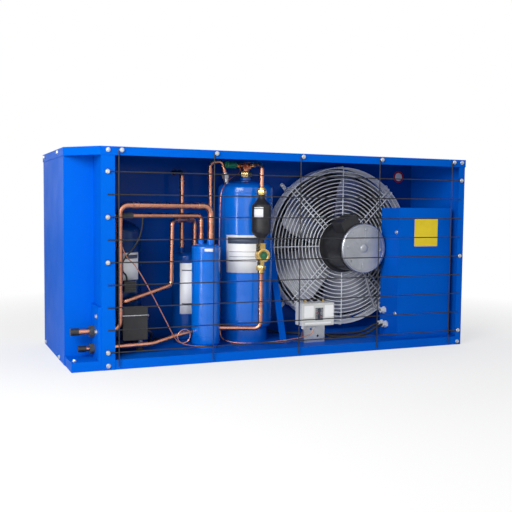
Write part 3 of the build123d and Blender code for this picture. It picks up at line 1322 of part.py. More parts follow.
NODES = {
    "base_pan": base_pan,
    "left_end_panel": left_panel,
    "right_end_panel": right_panel,
    "top_cover": top_cover,
    "fan_wall": fan_wall,
    "fan_ring": fan_ring,
    "wall_brace": wall_brace,
    "pipe_plate": pipe_plate,
    "panel_screws": panel_screws,
    "front_guard": front_guard,
    "suction_stub": suction_stub,
    "liquid_stub": liquid_stub,
    "suction_cap": suction_cap,
    "liquid_cap": liquid_cap,
    "pipe_sleeves": pipe_sleeves,
    "compressor_shell": compressor_shell,
    "compressor_feet": compressor_feet,
    "compressor_grommets": compressor_grommets,
    "compressor_bolts": compressor_bolts,
    "terminal_box": terminal_box,
    "terminal_cover": terminal_cover,
    "terminal_bail": terminal_bail,
    "thermostat_block": thermostat_block,
    "accumulator": accumulator,
    "oil_separator": oil_separator,
    "receiver": receiver,
    "receiver_inlet": receiver_inlet,
    "receiver_valve": receiver_valve,
    "receiver_valve_cap": receiver_valve_cap,
    "union_nuts": union_nuts,
    "filter_drier": filter_drier,
    "sight_glass_body": sight_glass_body,
    "sight_glass_lens": sight_glass_lens,
    "suction_line": suction_line,
    "return_line": return_line,
    "discharge_line": discharge_line,
    "hot_gas_line": hot_gas_line,
    "condensate_line": condensate_line,
    "liquid_lines": liquid_lines,
    "capillaries": capillaries,
    "switch_bracket": switch_bracket,
    "switch_body": switch_body,
    "switch_cover": switch_cover,
    "switch_window": switch_window,
    "cutin_spindle": cutin_spindle,
    "cutout_spindle": cutout_spindle,
    "box_body": box_body,
    "box_cover": box_cover,
    "box_electrics": box_electrics,
    "cable_glands": cable_glands,
    "cables": cables,
    "fan_guard": fan_guard,
    "motor_body": motor_body,
    "motor_end_shield": motor_end_shield,
    "motor_terminal_box": motor_terminal_box,
    "fan_hub": fan_hub_on_shaft,
    "fan_blades": fan_blades,
    "coil_fins": coil_fins,
    "coil_frame": coil_frame,
    "coil_tubes": coil_tubes,
}

os.makedirs("parts", exist_ok=True)
for node, make in NODES.items():
    export_step(make(), "parts/" + node + ".step")
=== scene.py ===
"""Refrigeration condensing unit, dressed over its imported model. Metres, in the part's frame."""

import math

import bmesh
import bpy
from mathutils import Matrix, Vector


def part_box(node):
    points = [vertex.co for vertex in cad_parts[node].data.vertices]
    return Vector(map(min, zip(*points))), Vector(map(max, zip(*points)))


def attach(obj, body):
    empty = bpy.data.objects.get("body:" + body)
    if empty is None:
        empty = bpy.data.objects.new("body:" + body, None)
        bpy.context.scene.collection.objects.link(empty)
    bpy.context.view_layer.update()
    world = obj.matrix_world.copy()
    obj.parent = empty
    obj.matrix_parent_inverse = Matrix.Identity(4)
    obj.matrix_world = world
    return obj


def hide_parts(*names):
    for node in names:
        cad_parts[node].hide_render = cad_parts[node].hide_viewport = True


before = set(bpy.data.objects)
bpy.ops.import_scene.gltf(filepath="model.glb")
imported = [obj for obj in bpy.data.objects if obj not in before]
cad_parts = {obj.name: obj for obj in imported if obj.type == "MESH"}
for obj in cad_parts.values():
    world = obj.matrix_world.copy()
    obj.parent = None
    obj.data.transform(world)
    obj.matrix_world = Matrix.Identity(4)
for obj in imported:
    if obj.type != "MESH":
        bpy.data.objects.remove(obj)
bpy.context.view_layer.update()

# -------------------- place, light and camera
# The unit stands on a pale floor in soft light from above and from the left front.
# The camera stands to the left of the pipe recess, a little below the lid's level.
LEFT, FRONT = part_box("top_cover")[0].x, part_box("top_cover")[0].y
UP, TO_FRONT, TO_REAR = (0, 0, 1), (0, -1, 0), (0, 1, 0)
scene = bpy.context.scene
scene.view_settings.view_transform = "Standard"


def place(x, y, z):
    """A point from millimetres right of, behind and above the casing's left front foot."""
    return Vector((LEFT + x / 1000, FRONT + y / 1000, z / 1000))


def new_material(name):
    """A material with its Principled shader and Object coordinates, ready for nodes."""
    material = bpy.data.materials.new(name)
    material.use_nodes = True
    nodes, links = material.node_tree.nodes, material.node_tree.links
    shader = nodes["Principled BSDF"]
    coords = nodes.new("ShaderNodeTexCoord").outputs["Object"]
    return material, nodes, links, shader, coords


def ranged(nodes, **limits):
    """A map range node with some of its limits set."""
    node = nodes.new("ShaderNodeMapRange")
    for word, value in limits.items():
        node.inputs[word.replace("_", " ").title()].default_value = value
    return node


def floor_and_backdrop():
    """A wide pale floor that fades to plain white away from the unit."""
    bm = bmesh.new()
    bmesh.ops.create_grid(bm, x_segments=1, y_segments=1, size=14.0)
    mesh = bpy.data.meshes.new("studio_floor")
    bm.to_mesh(mesh)
    bm.free()
    floor = bpy.data.objects.new("studio_floor", mesh)
    scene.collection.objects.link(floor)
    floor.location.z = -0.0005
    material, nodes, links, shader, coords = new_material("pale_floor")
    shader.inputs["Roughness"].default_value = 0.9
    shader.inputs["Specular IOR Level"].default_value = 0.1
    shader.inputs["Base Color"].default_value = (0.86, 0.86, 0.86, 1)
    rays = nodes.new("ShaderNodeLightPath")
    distance = nodes.new("ShaderNodeVectorMath")
    distance.operation = "LENGTH"
    links.new(coords, distance.inputs[0])
    fade = ranged(nodes, from_min=0.8, from_max=1.7, to_min=0.6, to_max=1.0)
    links.new(distance.outputs["Value"], fade.inputs["Value"])
    glow = nodes.new("ShaderNodeMath")
    glow.operation = "MULTIPLY"
    links.new(rays.outputs["Is Camera Ray"], glow.inputs[0])
    links.new(fade.outputs["Result"], glow.inputs[1])
    lit = nodes.new("ShaderNodeEmission")
    mix = nodes.new("ShaderNodeMixShader")
    links.new(glow.outputs[0], mix.inputs[0])
    links.new(shader.outputs[0], mix.inputs[1])
    links.new(lit.outputs[0], mix.inputs[2])
    links.new(mix.outputs[0], nodes["Material Output"].inputs["Surface"])
    mesh.materials.append(material)


def soft_lamp(name, where, towards, size, watts):
    """A rectangular lamp that faces a point."""
    lamp = bpy.data.lights.new(name, "AREA")
    lamp.shape = "RECTANGLE"
    lamp.size, lamp.size_y = size
    lamp.energy = watts
    obj = bpy.data.objects.new(name, lamp)
    obj.location = where
    obj.rotation_euler = (Vector(towards) - Vector(where)).to_track_quat("-Z", "Y").to_euler()
    scene.collection.objects.link(obj)


def set_world():
    """White all round: full strength where it is seen, and lower as light on the unit."""
    world = bpy.data.worlds.new("studio")
    world.use_nodes = True
    nodes, links = world.node_tree.nodes, world.node_tree.links
    rays = nodes.new("ShaderNodeLightPath")
    seen = nodes.new("ShaderNodeMath")
    seen.operation = "ADD"
    seen.use_clamp = True
    links.new(rays.outputs["Is Camera Ray"], seen.inputs[0])
    through = nodes.new("ShaderNodeMath")
    through.operation = "MAXIMUM"
    links.new(rays.outputs["Is Transmission Ray"], through.inputs[0])
    links.new(rays.outputs["Is Glossy Ray"], through.inputs[1])
    links.new(through.outputs[0], seen.inputs[1])
    strength = ranged(nodes, to_min=0.28, to_max=1.0)
    links.new(seen.outputs[0], strength.inputs["Value"])
    background = nodes["Background"]
    background.inputs["Color"].default_value = (1, 1, 1, 1)
    links.new(strength.outputs["Result"], background.inputs["Strength"])
    scene.world = world


def set_camera():
    """The one view that the picture is made from."""
    yaw, pitch, roll = 0.4046, 0.0645, 0.0097
    ahead = Vector((math.sin(yaw) * math.cos(pitch), math.cos(yaw) * math.cos(pitch),
                    -math.sin(pitch)))
    level = Vector((math.cos(yaw), -math.sin(yaw), 0))
    rise = level.cross(ahead)
    right = level * math.cos(roll) + rise * math.sin(roll)
    up = rise * math.cos(roll) - level * math.sin(roll)
    data = bpy.data.cameras.new("camera")
    data.lens, data.sensor_width = 54.59, 36.0
    camera = bpy.data.objects.new("camera", data)
    camera.matrix_world = Matrix.Translation((-0.9321, -2.17976, 0.42356)) @ Matrix(
        (right, up, -ahead)).transposed().to_4x4()
    scene.collection.objects.link(camera)
    scene.camera = camera


floor_and_backdrop()
set_world()
soft_lamp("key", (-1.6, -1.6, 1.2), (-0.1, 0, 0.3), (1.0, 1.0), 38)
soft_lamp("front_fill", (-0.5, -3.2, 0.9), (0, 0, 0.25), (2.2, 1.4), 9)
soft_lamp("strip", (-1.54, -1.0, 0.5), (-0.1, 0, 0.3), (0.12, 1.2), 5)
soft_lamp("top", (0.2, 0.4, 3.0), (0, 0, 0.3), (2.6, 2.2), 26)
set_camera()

# -------------------- painted casing
# Folded 1.5 mm sheet in a satin blue powder coat: base pan, end panels, lid, brace, pipe cover
# and the electrical box. The fan wall behind has a smoother coat, whose darker blue is painted
# shade.
def surface_group(name, outputs):
    """An empty node group that reads a position and a size, and puts out the named values."""
    group = bpy.data.node_groups.new(name, "ShaderNodeTree")
    group.interface.new_socket("Position", in_out="INPUT", socket_type="NodeSocketVector")
    for word, start in (("Size", 1.0), ("Low", 0.0), ("High", 1.0)):
        socket = group.interface.new_socket(word, in_out="INPUT", socket_type="NodeSocketFloat")
        socket.default_value = start
    for word in outputs:
        group.interface.new_socket(word, in_out="OUTPUT", socket_type="NodeSocketFloat")
    nodes = group.nodes
    return group, nodes.new("NodeGroupInput"), nodes.new("NodeGroupOutput"), nodes, group.links


def make_cloud():
    """Soft patches, between Low and High."""
    group, into, out, nodes, links = surface_group("cloud", ["Value"])
    noise = nodes.new("ShaderNodeTexNoise")
    noise.inputs["Detail"].default_value = 4.0
    spread = ranged(nodes, from_min=0.3, from_max=0.7)
    links.new(into.outputs["Position"], noise.inputs["Vector"])
    links.new(into.outputs["Size"], noise.inputs["Scale"])
    links.new(noise.outputs["Fac"], spread.inputs["Value"])
    links.new(into.outputs["Low"], spread.inputs["To Min"])
    links.new(into.outputs["High"], spread.inputs["To Max"])
    links.new(spread.outputs["Result"], out.inputs["Value"])
    return group


def make_specks():
    """Small scattered specks, such as dust and pits: High in a speck and Low elsewhere."""
    group, into, out, nodes, links = surface_group("specks", ["Value"])
    cells = nodes.new("ShaderNodeTexVoronoi")
    dot = ranged(nodes, from_min=0.22, from_max=0.08)
    links.new(into.outputs["Position"], cells.inputs["Vector"])
    links.new(into.outputs["Size"], cells.inputs["Scale"])
    links.new(cells.outputs["Distance"], dot.inputs["Value"])
    links.new(into.outputs["Low"], dot.inputs["To Min"])
    links.new(into.outputs["High"], dot.inputs["To Max"])
    links.new(dot.outputs["Result"], out.inputs["Value"])
    return group


CLOUD, SPECKS = make_cloud(), make_specks()


def effect(nodes, links, group, where, size, low, high):
    """One use of a surface effect; gives its value."""
    node = nodes.new("ShaderNodeGroup")
    node.node_tree = group
    links.new(where, node.inputs["Position"])
    for word, value in (("Size", size), ("Low", low), ("High", high)):
        node.inputs[word].default_value = value
    return node.outputs["Value"]


def along(nodes, links, coords, stretch):
    """The position stretched along each axis, for a grain with a direction."""
    mapping = nodes.new("ShaderNodeMapping")
    mapping.inputs["Scale"].default_value = stretch
    links.new(coords, mapping.inputs["Vector"])
    return mapping.outputs["Vector"]


def finish_of(name, colour, tint, patch=9.0, rough=(0.3, 0.4), metal=0.0, gloss=0.5,
              bump=0.1, grain=900.0, stretch=(1, 1, 1), dust=0.0, depth=0.0001):
    """A finish whose colour drifts to a tint in patches, with its own grain and dust."""
    material, nodes, links, shader, coords = new_material(name)
    where = along(nodes, links, coords, stretch)
    mix = nodes.new("ShaderNodeMix")
    mix.data_type = "RGBA"
    mix.inputs["A"].default_value = (*colour, 1)
    mix.inputs["B"].default_value = (*tint, 1)
    links.new(effect(nodes, links, CLOUD, coords, patch, 0.0, 1.0), mix.inputs["Factor"])
    tone = mix.outputs["Result"]
    if dust:
        dusty = nodes.new("ShaderNodeMix")
        dusty.data_type = "RGBA"
        dusty.inputs["B"].default_value = (0.45, 0.46, 0.47, 1)
        links.new(tone, dusty.inputs["A"])
        links.new(effect(nodes, links, SPECKS, coords, 160.0, 0.0, dust), dusty.inputs["Factor"])
        tone = dusty.outputs["Result"]
    links.new(tone, shader.inputs["Base Color"])
    links.new(effect(nodes, links, CLOUD, where, patch * 4, *rough), shader.inputs["Roughness"])
    raised = nodes.new("ShaderNodeBump")
    raised.inputs["Strength"].default_value = bump
    raised.inputs["Distance"].default_value = depth
    links.new(effect(nodes, links, CLOUD, where, grain, 0.0, 1.0), raised.inputs["Height"])
    links.new(raised.outputs["Normal"], shader.inputs["Normal"])
    shader.inputs["Metallic"].default_value = metal
    shader.inputs["Specular IOR Level"].default_value = gloss
    return material


def dress(material, *names):
    """Gives CAD nodes their material."""
    for name in names:
        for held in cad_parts[name].material_slots:
            held.material = material


casing_blue = finish_of("casing_blue", (0.0002, 0.116, 0.62), (0.0002, 0.100, 0.56), patch=3.0,
                        rough=(0.34, 0.42), gloss=0.02, bump=0.08, grain=420.0, dust=0.012,
                        depth=0.0004)
dress(casing_blue, "base_pan", "left_end_panel", "right_end_panel", "top_cover",
      "wall_brace", "pipe_plate", "box_body", "box_cover")
# Painted shade: the fan wall takes the casing's blue made darker, standing in for the shadow inside
# the casing; its lower roughness is its own.
shaded_bulkhead_blue = finish_of("shaded_bulkhead_blue", (0.0002, 0.058, 0.34), (0.0002, 0.048, 0.29),
                          patch=3.0, rough=(0.10, 0.18), gloss=0.07, bump=0.05, grain=420.0,
                          dust=0.006, depth=0.0004)
dress(shaded_bulkhead_blue, "fan_wall")

# -------------------- flange-head screws
# White zinc-flake screws hold the lid, the panels, the guards and the box. One cold-headed
# screw, with a domed flange and a washer-faced hexagon, stands at every seat in the model.
SCREW_FLANGE_R, SCREW_FLANGE, SCREW_FLATS, SCREW_HEIGHT = 0.006, 0.0012, 0.008, 0.0044


def link_mesh(name, bm, material, smooth_angle=40):
    """Closes a bmesh into an object of its own, smooth up to an angle."""
    mesh = bpy.data.meshes.new(name)
    for face in bm.faces:
        face.smooth = True
    limit = math.radians(smooth_angle)
    for edge in bm.edges:
        edge.smooth = len(edge.link_faces) != 2 or edge.calc_face_angle() < limit
    bm.to_mesh(mesh)
    bm.free()
    mesh.materials.append(material)
    obj = bpy.data.objects.new(name, mesh)
    scene.collection.objects.link(obj)
    return obj


def fit(obj, slot, *nodes, body="casing"):
    """A finished piece joins its body and stands for the CAD nodes named; its slot is not used."""
    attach(obj, body)
    if nodes:
        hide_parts(*nodes)
    return obj


def added(bm, held):
    """The vertices that a bmesh has beyond those it held before."""
    return [vert for vert in bm.verts if vert not in held]


def turned(bm, outline, sides=48, closed=False):
    """Spins (radius, height) points round the Z axis into a skin, and gives its new vertices."""
    held = set(bm.verts)
    row = [bm.verts.new((radius, 0, height)) for radius, height in outline]
    pairs = list(zip(row, row[1:])) + ([(row[-1], row[0])] if closed else [])
    edges = [bm.edges.new(pair) for pair in pairs]
    bmesh.ops.spin(bm, geom=row + edges, axis=UP, cent=(0, 0, 0), dvec=(0, 0, 0),
                   angle=math.tau, steps=sides, use_merge=True)
    bmesh.ops.remove_doubles(bm, verts=added(bm, held), dist=1e-6)
    made = added(bm, held)
    faces = list({face for vert in made for face in vert.link_faces})
    bmesh.ops.recalc_face_normals(bm, faces=faces)
    return made


def move(bm, verts, matrix):
    """Moves, turns or stretches some vertices."""
    bmesh.ops.transform(bm, matrix=matrix, verts=verts)


def softened(bm, verts, edges, offset, segments):
    """Bevels some edges of a shape, and gives all its vertices as they are afterwards."""
    cut = bmesh.ops.bevel(bm, geom=edges, offset=offset, segments=segments, affect="EDGES",
                          profile=0.5, material=-1)
    return list({v for f in cut["faces"] for v in f.verts} | {v for v in verts if v.is_valid})


def block(bm, size):
    """A plain block round the origin; gives its vertices."""
    made = bmesh.ops.create_cube(bm, size=1)["verts"]
    move(bm, made, Matrix.Diagonal((*size, 1)))
    return made


def facing(direction, where=(0, 0, 0)):
    """The place of a thing made along +Z that is to point along a direction."""
    turn = Vector(direction).to_track_quat("Z", "Y").to_matrix().to_4x4()
    return Matrix.Translation(where) @ turn


def screw_pattern():
    """One screw head, seated at the origin and facing +Z."""
    bm = bmesh.new()
    r, t = SCREW_FLANGE_R, SCREW_FLANGE
    turned(bm, [(0, 0), (r, 0), (r, 0.5 * t), (r - 0.0006, t), (0, t)], sides=24)
    corner = SCREW_FLATS / math.sqrt(3)
    made = bmesh.ops.create_cone(bm, segments=6, radius1=corner, radius2=corner, cap_ends=True,
                                 depth=SCREW_HEIGHT - 0.6 * t)["verts"]
    move(bm, made, Matrix.Translation((0, 0, SCREW_HEIGHT / 2 + 0.3 * t)))
    rim = [e for e in bm.edges if e.is_valid and all(v in made for v in e.verts)
           and min(v.co.z for v in e.verts) > SCREW_HEIGHT - 0.0001]
    softened(bm, made, rim, 0.0006, 2)
    dish = bmesh.ops.create_circle(bm, segments=16, radius=0.0026, cap_ends=True)["verts"]
    move(bm, dish, Matrix.Translation((0, 0, SCREW_HEIGHT + 0.00001)))
    mesh = bpy.data.meshes.new("screw_pattern")
    bm.to_mesh(mesh)
    bm.free()
    return mesh


def solids_of(node):
    """The separate solids of a CAD node, each as its list of points."""
    bm = bmesh.new()
    bm.from_mesh(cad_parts[node].data)
    bmesh.ops.remove_doubles(bm, verts=bm.verts, dist=1e-6)
    seen, found = set(), []
    for vert in bm.verts:
        if vert in seen:
            continue
        seen.add(vert)
        reached, waiting = [], [vert]
        while waiting:
            here = waiting.pop()
            reached.append(here.co.copy())
            for edge in here.link_edges:
                there = edge.other_vert(here)
                if there not in seen:
                    seen.add(there)
                    waiting.append(there)
        found.append(reached)
    bm.free()
    return found


def seat_of(points):
    """Where a screw sits and which way it faces: its flange is the widest end."""
    low = Vector([min(p[i] for p in points) for i in range(3)])
    high = Vector([max(p[i] for p in points) for i in range(3)])
    size, middle = high - low, (low + high) / 2
    axis = min(range(3), key=lambda i: size[i])
    ends = []
    for level in (low[axis], high[axis]):
        near = [p for p in points if abs(p[axis] - level) < 1e-5]
        ends.append(max((p - middle).length for p in near))
    direction, seat = Vector(), middle.copy()
    direction[axis] = 1 if ends[0] > ends[1] else -1
    seat[axis] = low[axis] if ends[0] > ends[1] else high[axis]
    return seat, direction


def repeat(bm, pattern, places):
    """Adds a copy of a pattern mesh at every place."""
    for where in places:
        held = set(bm.verts)
        bm.from_mesh(pattern)
        move(bm, added(bm, held), where)


zinc_flake = finish_of("zinc_flake", (0.62, 0.64, 0.66), (0.46, 0.48, 0.50), patch=120.0,
                       rough=(0.28, 0.45), metal=0.85, bump=0.15, grain=2500.0)
screw_head = screw_pattern()
heads = bmesh.new()
screw_seats = [seat_of(points) for points in solids_of("panel_screws")]
repeat(heads, screw_head, [facing(direction, seat) for seat, direction in screw_seats])
fit(link_mesh("screw_heads", heads, zinc_flake, 30), "zinc", "panel_screws")

# -------------------- front wire guard
# Black coated wire mesh: nine level wires with five upright ones welded over them. The wires
# end in eyes, which the screws clamp to the column, the right flange and the lid.
WIRE_R = 0.0015
GUARD_ROWS, GUARD_ROW_PITCH, GUARD_ROW_LOW = 9, 57.7, 45.0
GUARD_COLUMNS, GUARD_COLUMN_PITCH, GUARD_COLUMN_FIRST = 5, 256.2, 123.0
GUARD_LEFT, GUARD_RIGHT, GUARD_EYE_LEVEL = 95.0, 1185.0, 561.0
EYE_R, EYE_SIDE = 0.0052, 7.7
LEFT_EYE_ROWS, RIGHT_EYE_ROWS = (0, 4, 6, 8), (0, 4, 8)


def straight_wire(bm, start, end, radius, sides=12):
    """A round wire or tube from point to point."""
    run = end - start
    made = bmesh.ops.create_cone(bm, segments=sides, radius1=radius, radius2=radius,
                                 depth=run.length, cap_ends=True)["verts"]
    move(bm, made, facing(run, (start + end) / 2))


def hoop(bm, centre, axis, radius, wire, sides=64, section=10):
    """A closed ring of round wire."""
    held = set(bm.verts)
    made = bmesh.ops.create_circle(bm, segments=section, radius=wire)["verts"]
    move(bm, made, Matrix.Translation((radius, 0, 0)) @ Matrix.Rotation(math.pi / 2, 4, "X"))
    edges = list({e for v in made for e in v.link_edges})
    bmesh.ops.spin(bm, geom=made + edges, axis=UP, cent=(0, 0, 0), dvec=(0, 0, 0),
                   angle=math.tau, steps=sides, use_merge=True)
    bmesh.ops.remove_doubles(bm, verts=added(bm, held), dist=1e-7)
    made = added(bm, held)
    bmesh.ops.recalc_face_normals(bm, faces=list({f for v in made for f in v.link_faces}))
    move(bm, made, facing(axis, centre))


def front_wires():
    """Level wires, upright wires and their eyes."""
    bm = bmesh.new()
    across = -WIRE_R * 1000
    for i in range(GUARD_ROWS):
        z = GUARD_ROW_LOW + i * GUARD_ROW_PITCH
        straight_wire(bm, place(GUARD_LEFT, 0, z), place(GUARD_RIGHT, 0, z), WIRE_R)
        for x, rows in ((GUARD_LEFT, LEFT_EYE_ROWS), (GUARD_RIGHT, RIGHT_EYE_ROWS)):
            if i in rows:
                hoop(bm, place(x, 0, z), TO_REAR, EYE_R, WIRE_R, sides=24, section=8)
    for i in range(GUARD_COLUMNS):
        x = GUARD_COLUMN_FIRST + i * GUARD_COLUMN_PITCH
        straight_wire(bm, place(x, 2 * across, 9), place(x, 2 * across, GUARD_EYE_LEVEL), WIRE_R)
        hoop(bm, place(x + EYE_SIDE, across, GUARD_EYE_LEVEL), TO_REAR, EYE_R, WIRE_R,
             sides=24, section=8)
    return bm


black_coat = finish_of("black_coat", (0.012, 0.012, 0.014), (0.025, 0.025, 0.028), patch=60.0,
                       rough=(0.35, 0.5), gloss=0.4, grain=1200.0)
fit(link_mesh("front_guard_wires", front_wires(), black_coat, 60), "black_wire", "front_guard")

# -------------------- fan guard
# Light-coated welded wire: level hoops across the front, a skirt of hoops, four single spokes
# and four pairs that end in the lugs. It carries the motor and is screwed to the fan wall.
FAN_AXIS = place(904, 0, 297)
GUARD_WIRE_R = 0.00175
GUARD_INNER, GUARD_OUTER, GUARD_HOOPS, SKIRT_HOOPS = 82.0, 251.0, 14, 5
GUARD_FACE, WALL_FACE = 235.0, 285.0
ONE_SPOKE, SPOKE_PAIR = (0,), (-7.5, 7.5)


def on_fan(angle, radius, setback, side=0.0):
    """A point round the fan's axis, in millimetres, with a shift to one side of its spoke."""
    turn = math.radians(angle)
    x = radius * math.cos(turn) - side * math.sin(turn)
    z = radius * math.sin(turn) + side * math.cos(turn)
    return Vector((FAN_AXIS.x + x / 1000, FRONT + setback / 1000, FAN_AXIS.z + z / 1000))


def round_curve(name, radius, section, material):
    """An empty curve of round section, as an object of its own."""
    data = bpy.data.curves.new(name, "CURVE")
    data.dimensions = "3D"
    data.bevel_depth, data.bevel_resolution, data.use_fill_caps = radius, section, True
    data.materials.append(material)
    obj = bpy.data.objects.new(name, data)
    scene.collection.objects.link(obj)
    return obj, data


def bent_wire(lines, radius, bend, name, material, section=4, arc=5):
    """Rigid wires or tubes along lines of points, with each corner rounded."""
    obj, data = round_curve(name, radius, section, material)
    for line in lines:
        rounded = [line[0]]
        for before, corner, after in zip(line, line[1:], line[2:]):
            one, two = (before - corner).normalized(), (after - corner).normalized()
            angle = one.angle(two)
            if math.pi - angle < 0.02:
                rounded.append(corner)
                continue
            reach = bend / math.tan(angle / 2)
            centre = corner + (one + two).normalized() * (bend / math.sin(angle / 2))
            first, last = corner + one * reach - centre, corner + two * reach - centre
            sweep = first.angle(last)
            axis = first.cross(last).normalized()
            for step in range(arc + 1):
                rounded.append(centre + Matrix.Rotation(sweep * step / arc, 3, axis) @ first)
        rounded.append(line[-1])
        spline = data.splines.new("POLY")
        spline.points.add(len(rounded) - 1)
        for point, where in zip(spline.points, rounded):
            point.co = (*where, 1)
    return obj


def guard_hoops():
    """Hoops of the face and the skirt, and the four lugs that the guard is screwed down by."""
    bm = bmesh.new()
    pitch = (GUARD_OUTER - GUARD_INNER) / GUARD_HOOPS
    wire = GUARD_WIRE_R * 1000
    for i in range(GUARD_HOOPS + 1):
        centre = on_fan(0, 0, GUARD_FACE + wire)
        hoop(bm, centre, TO_REAR, (GUARD_INNER + i * pitch) / 1000, GUARD_WIRE_R,
             sides=96, section=8)
    step = (WALL_FACE - GUARD_FACE - 4 * wire) / SKIRT_HOOPS
    for i in range(1, SKIRT_HOOPS + 1):
        centre = on_fan(0, 0, GUARD_FACE + wire + i * step)
        hoop(bm, centre, TO_REAR, GUARD_OUTER / 1000, GUARD_WIRE_R, sides=96, section=8)
    for angle in (45, 135, 225, 315):
        lug = block(bm, (0.024, 0.012, 0.0018))
        corners = [e for e in bm.edges if e.is_valid and all(v in lug for v in e.verts)
                   and abs(e.verts[0].co.z - e.verts[1].co.z) > 0.001]
        lug = softened(bm, lug, corners, 0.0045, 4)
        turn = Matrix.Rotation(-math.radians(angle), 4, "Y") @ Matrix.Rotation(math.pi / 2, 4, "X")
        move(bm, lug, Matrix.Translation(on_fan(angle, GUARD_OUTER + 15.5, WALL_FACE - 1.0)) @ turn)
    return bm


def guard_spokes():
    """Single spokes and pairs in turn, each bent back to the wall past the last hoop."""
    wire = GUARD_WIRE_R * 1000
    edge, face = GUARD_OUTER + 2 * wire, GUARD_FACE - wire
    lines = []
    for angle in range(0, 360, 45):
        for side in SPOKE_PAIR if angle % 90 else ONE_SPOKE:
            places = ((GUARD_INNER - 2, face), (edge, face), (edge, WALL_FACE - wire))
            lines.append([on_fan(angle, radius, setback, side) for radius, setback in places])
    return lines


guard_coat = finish_of("guard_coat", (0.90, 0.92, 0.94), (0.80, 0.82, 0.85), patch=40.0,
                       rough=(0.28, 0.4), bump=0.08)
fit(link_mesh("fan_guard_hoops", guard_hoops(), guard_coat, 60), "guard_white", "fan_guard")
fit(bent_wire(guard_spokes(), GUARD_WIRE_R, 0.006, "fan_guard_spokes", guard_coat), "guard_white")

# -------------------- vessels
# Compressor shell, suction accumulator, oil separator and liquid receiver: drawn steel with
# dished ends and a weld bead at each seam, in glossy blue enamel over the weld.
def dish(radius, base, rise, steps=10):
    """The outline of a dished end, from its edge to near its crown."""
    turns = [math.radians(86) * i / steps for i in range(steps + 1)]
    return [(radius * math.cos(a), base + rise * math.sin(a)) for a in turns]


def weld_bead(radius, level, size=0.0012):
    """The outline of a weld that stands just proud of the wall."""
    turns = [math.pi * i / 6 for i in range(7)]
    return [(radius + 0.6 * size * math.sin(a), level - size * math.cos(a)) for a in turns]


def vessel_skin(bm, centre, radius, low, high, rises, seams):
    """A vessel on its own axis: dished ends, straight wall and weld beads at its seams."""
    top, bottom = rises
    wall = []
    for level in sorted(seams):
        wall += weld_bead(radius, level)
    lower = dish(radius, low, -bottom)[::-1]
    outline = [(0, low - bottom)] + lower + wall + dish(radius, high, top) + [(0, high + top)]
    move(bm, turned(bm, outline, sides=96), Matrix.Translation(centre))


def rod_skin(bm, start, direction, radius, length, sides=32, soften=0.0):
    """A round bar, with its far rim softened where asked."""
    outline = [(0, 0), (radius, 0), (radius, length - soften), (radius - soften, length),
               (0, length)]
    move(bm, turned(bm, outline, sides=sides), facing(direction, start))


def bar_skin(bm, start, direction, flats, length, soften=0.0008):
    """A hexagon nut or bar with turned-down corners at both ends."""
    corner = flats / math.sqrt(3)
    made = bmesh.ops.create_cone(bm, segments=6, radius1=corner, radius2=corner, cap_ends=True,
                                 depth=length)["verts"]
    move(bm, made, Matrix.Translation((0, 0, length / 2)))
    rims = [e for e in {e for v in made for e in v.link_edges}
            if abs(e.verts[0].co.z - e.verts[1].co.z) < 1e-7]
    move(bm, softened(bm, made, rims, soften, 2), facing(direction, start))


FLOOR_LEVEL = 0.025
COMPRESSOR = place(132, 187, 0)
ACCUMULATOR = place(395, 105, 0)
SEPARATOR = place(370, 203, 0)
RECEIVER = place(548, 190, 0)
COMPRESSOR_R, ACCUMULATOR_R, SEPARATOR_R, RECEIVER_R = 0.095, 0.040, 0.043, 0.081


def compressor_skin():
    """The shell, with the raised band where its two halves meet."""
    bm = bmesh.new()
    low, high = 0.070, 0.346
    vessel_skin(bm, COMPRESSOR, COMPRESSOR_R, low, high, (0.042, 0.025), (0.3196,))
    sunk, proud = COMPRESSOR_R - 0.001, COMPRESSOR_R + 0.0016
    band = [(sunk, 0.3155), (proud, 0.3165), (proud, 0.3205), (sunk, 0.3215)]
    move(bm, turned(bm, band, sides=96), Matrix.Translation(COMPRESSOR))
    return bm


def accumulator_skin():
    """The accumulator on its stand, with two ports on top."""
    bm = bmesh.new()
    vessel_skin(bm, ACCUMULATOR, ACCUMULATOR_R, 0.039, 0.306, (0.012, 0.010), (0.060, 0.292))
    rod_skin(bm, ACCUMULATOR + Vector((0, 0, FLOOR_LEVEL)), UP, ACCUMULATOR_R - 0.006, 0.014)
    for x, y, r in ((404, 92, 7.94), (384, 116, 6.35)):
        rod_skin(bm, place(x, y, 304), UP, (r + 2.2) / 1000, 0.026, soften=0.0008)
    return bm


def separator_skin():
    """The separator on its stand, with two ports on top."""
    bm = bmesh.new()
    vessel_skin(bm, SEPARATOR, SEPARATOR_R, 0.041, 0.276, (0.014, 0.012), (0.060, 0.262))
    rod_skin(bm, SEPARATOR + Vector((0, 0, FLOOR_LEVEL)), UP, SEPARATOR_R - 0.006, 0.014)
    for x, y in ((392, 196), (356, 206)):
        rod_skin(bm, place(x, y, 268), UP, 0.00875, 0.034, soften=0.0008)
    return bm


def receiver_skin():
    """The receiver with its neck and its ring foot."""
    bm = bmesh.new()
    vessel_skin(bm, RECEIVER, RECEIVER_R, 0.078, 0.474, (0.026, 0.026), (0.092, 0.460))
    rod_skin(bm, RECEIVER + Vector((0, 0, 0.488)), UP, 0.016, 0.021, soften=0.001)
    foot = turned(bm, [(0.065, FLOOR_LEVEL), (0.068, FLOOR_LEVEL), (0.068, 0.064), (0.065, 0.064)],
                  sides=64, closed=True)
    move(bm, foot, Matrix.Translation(RECEIVER))
    return bm


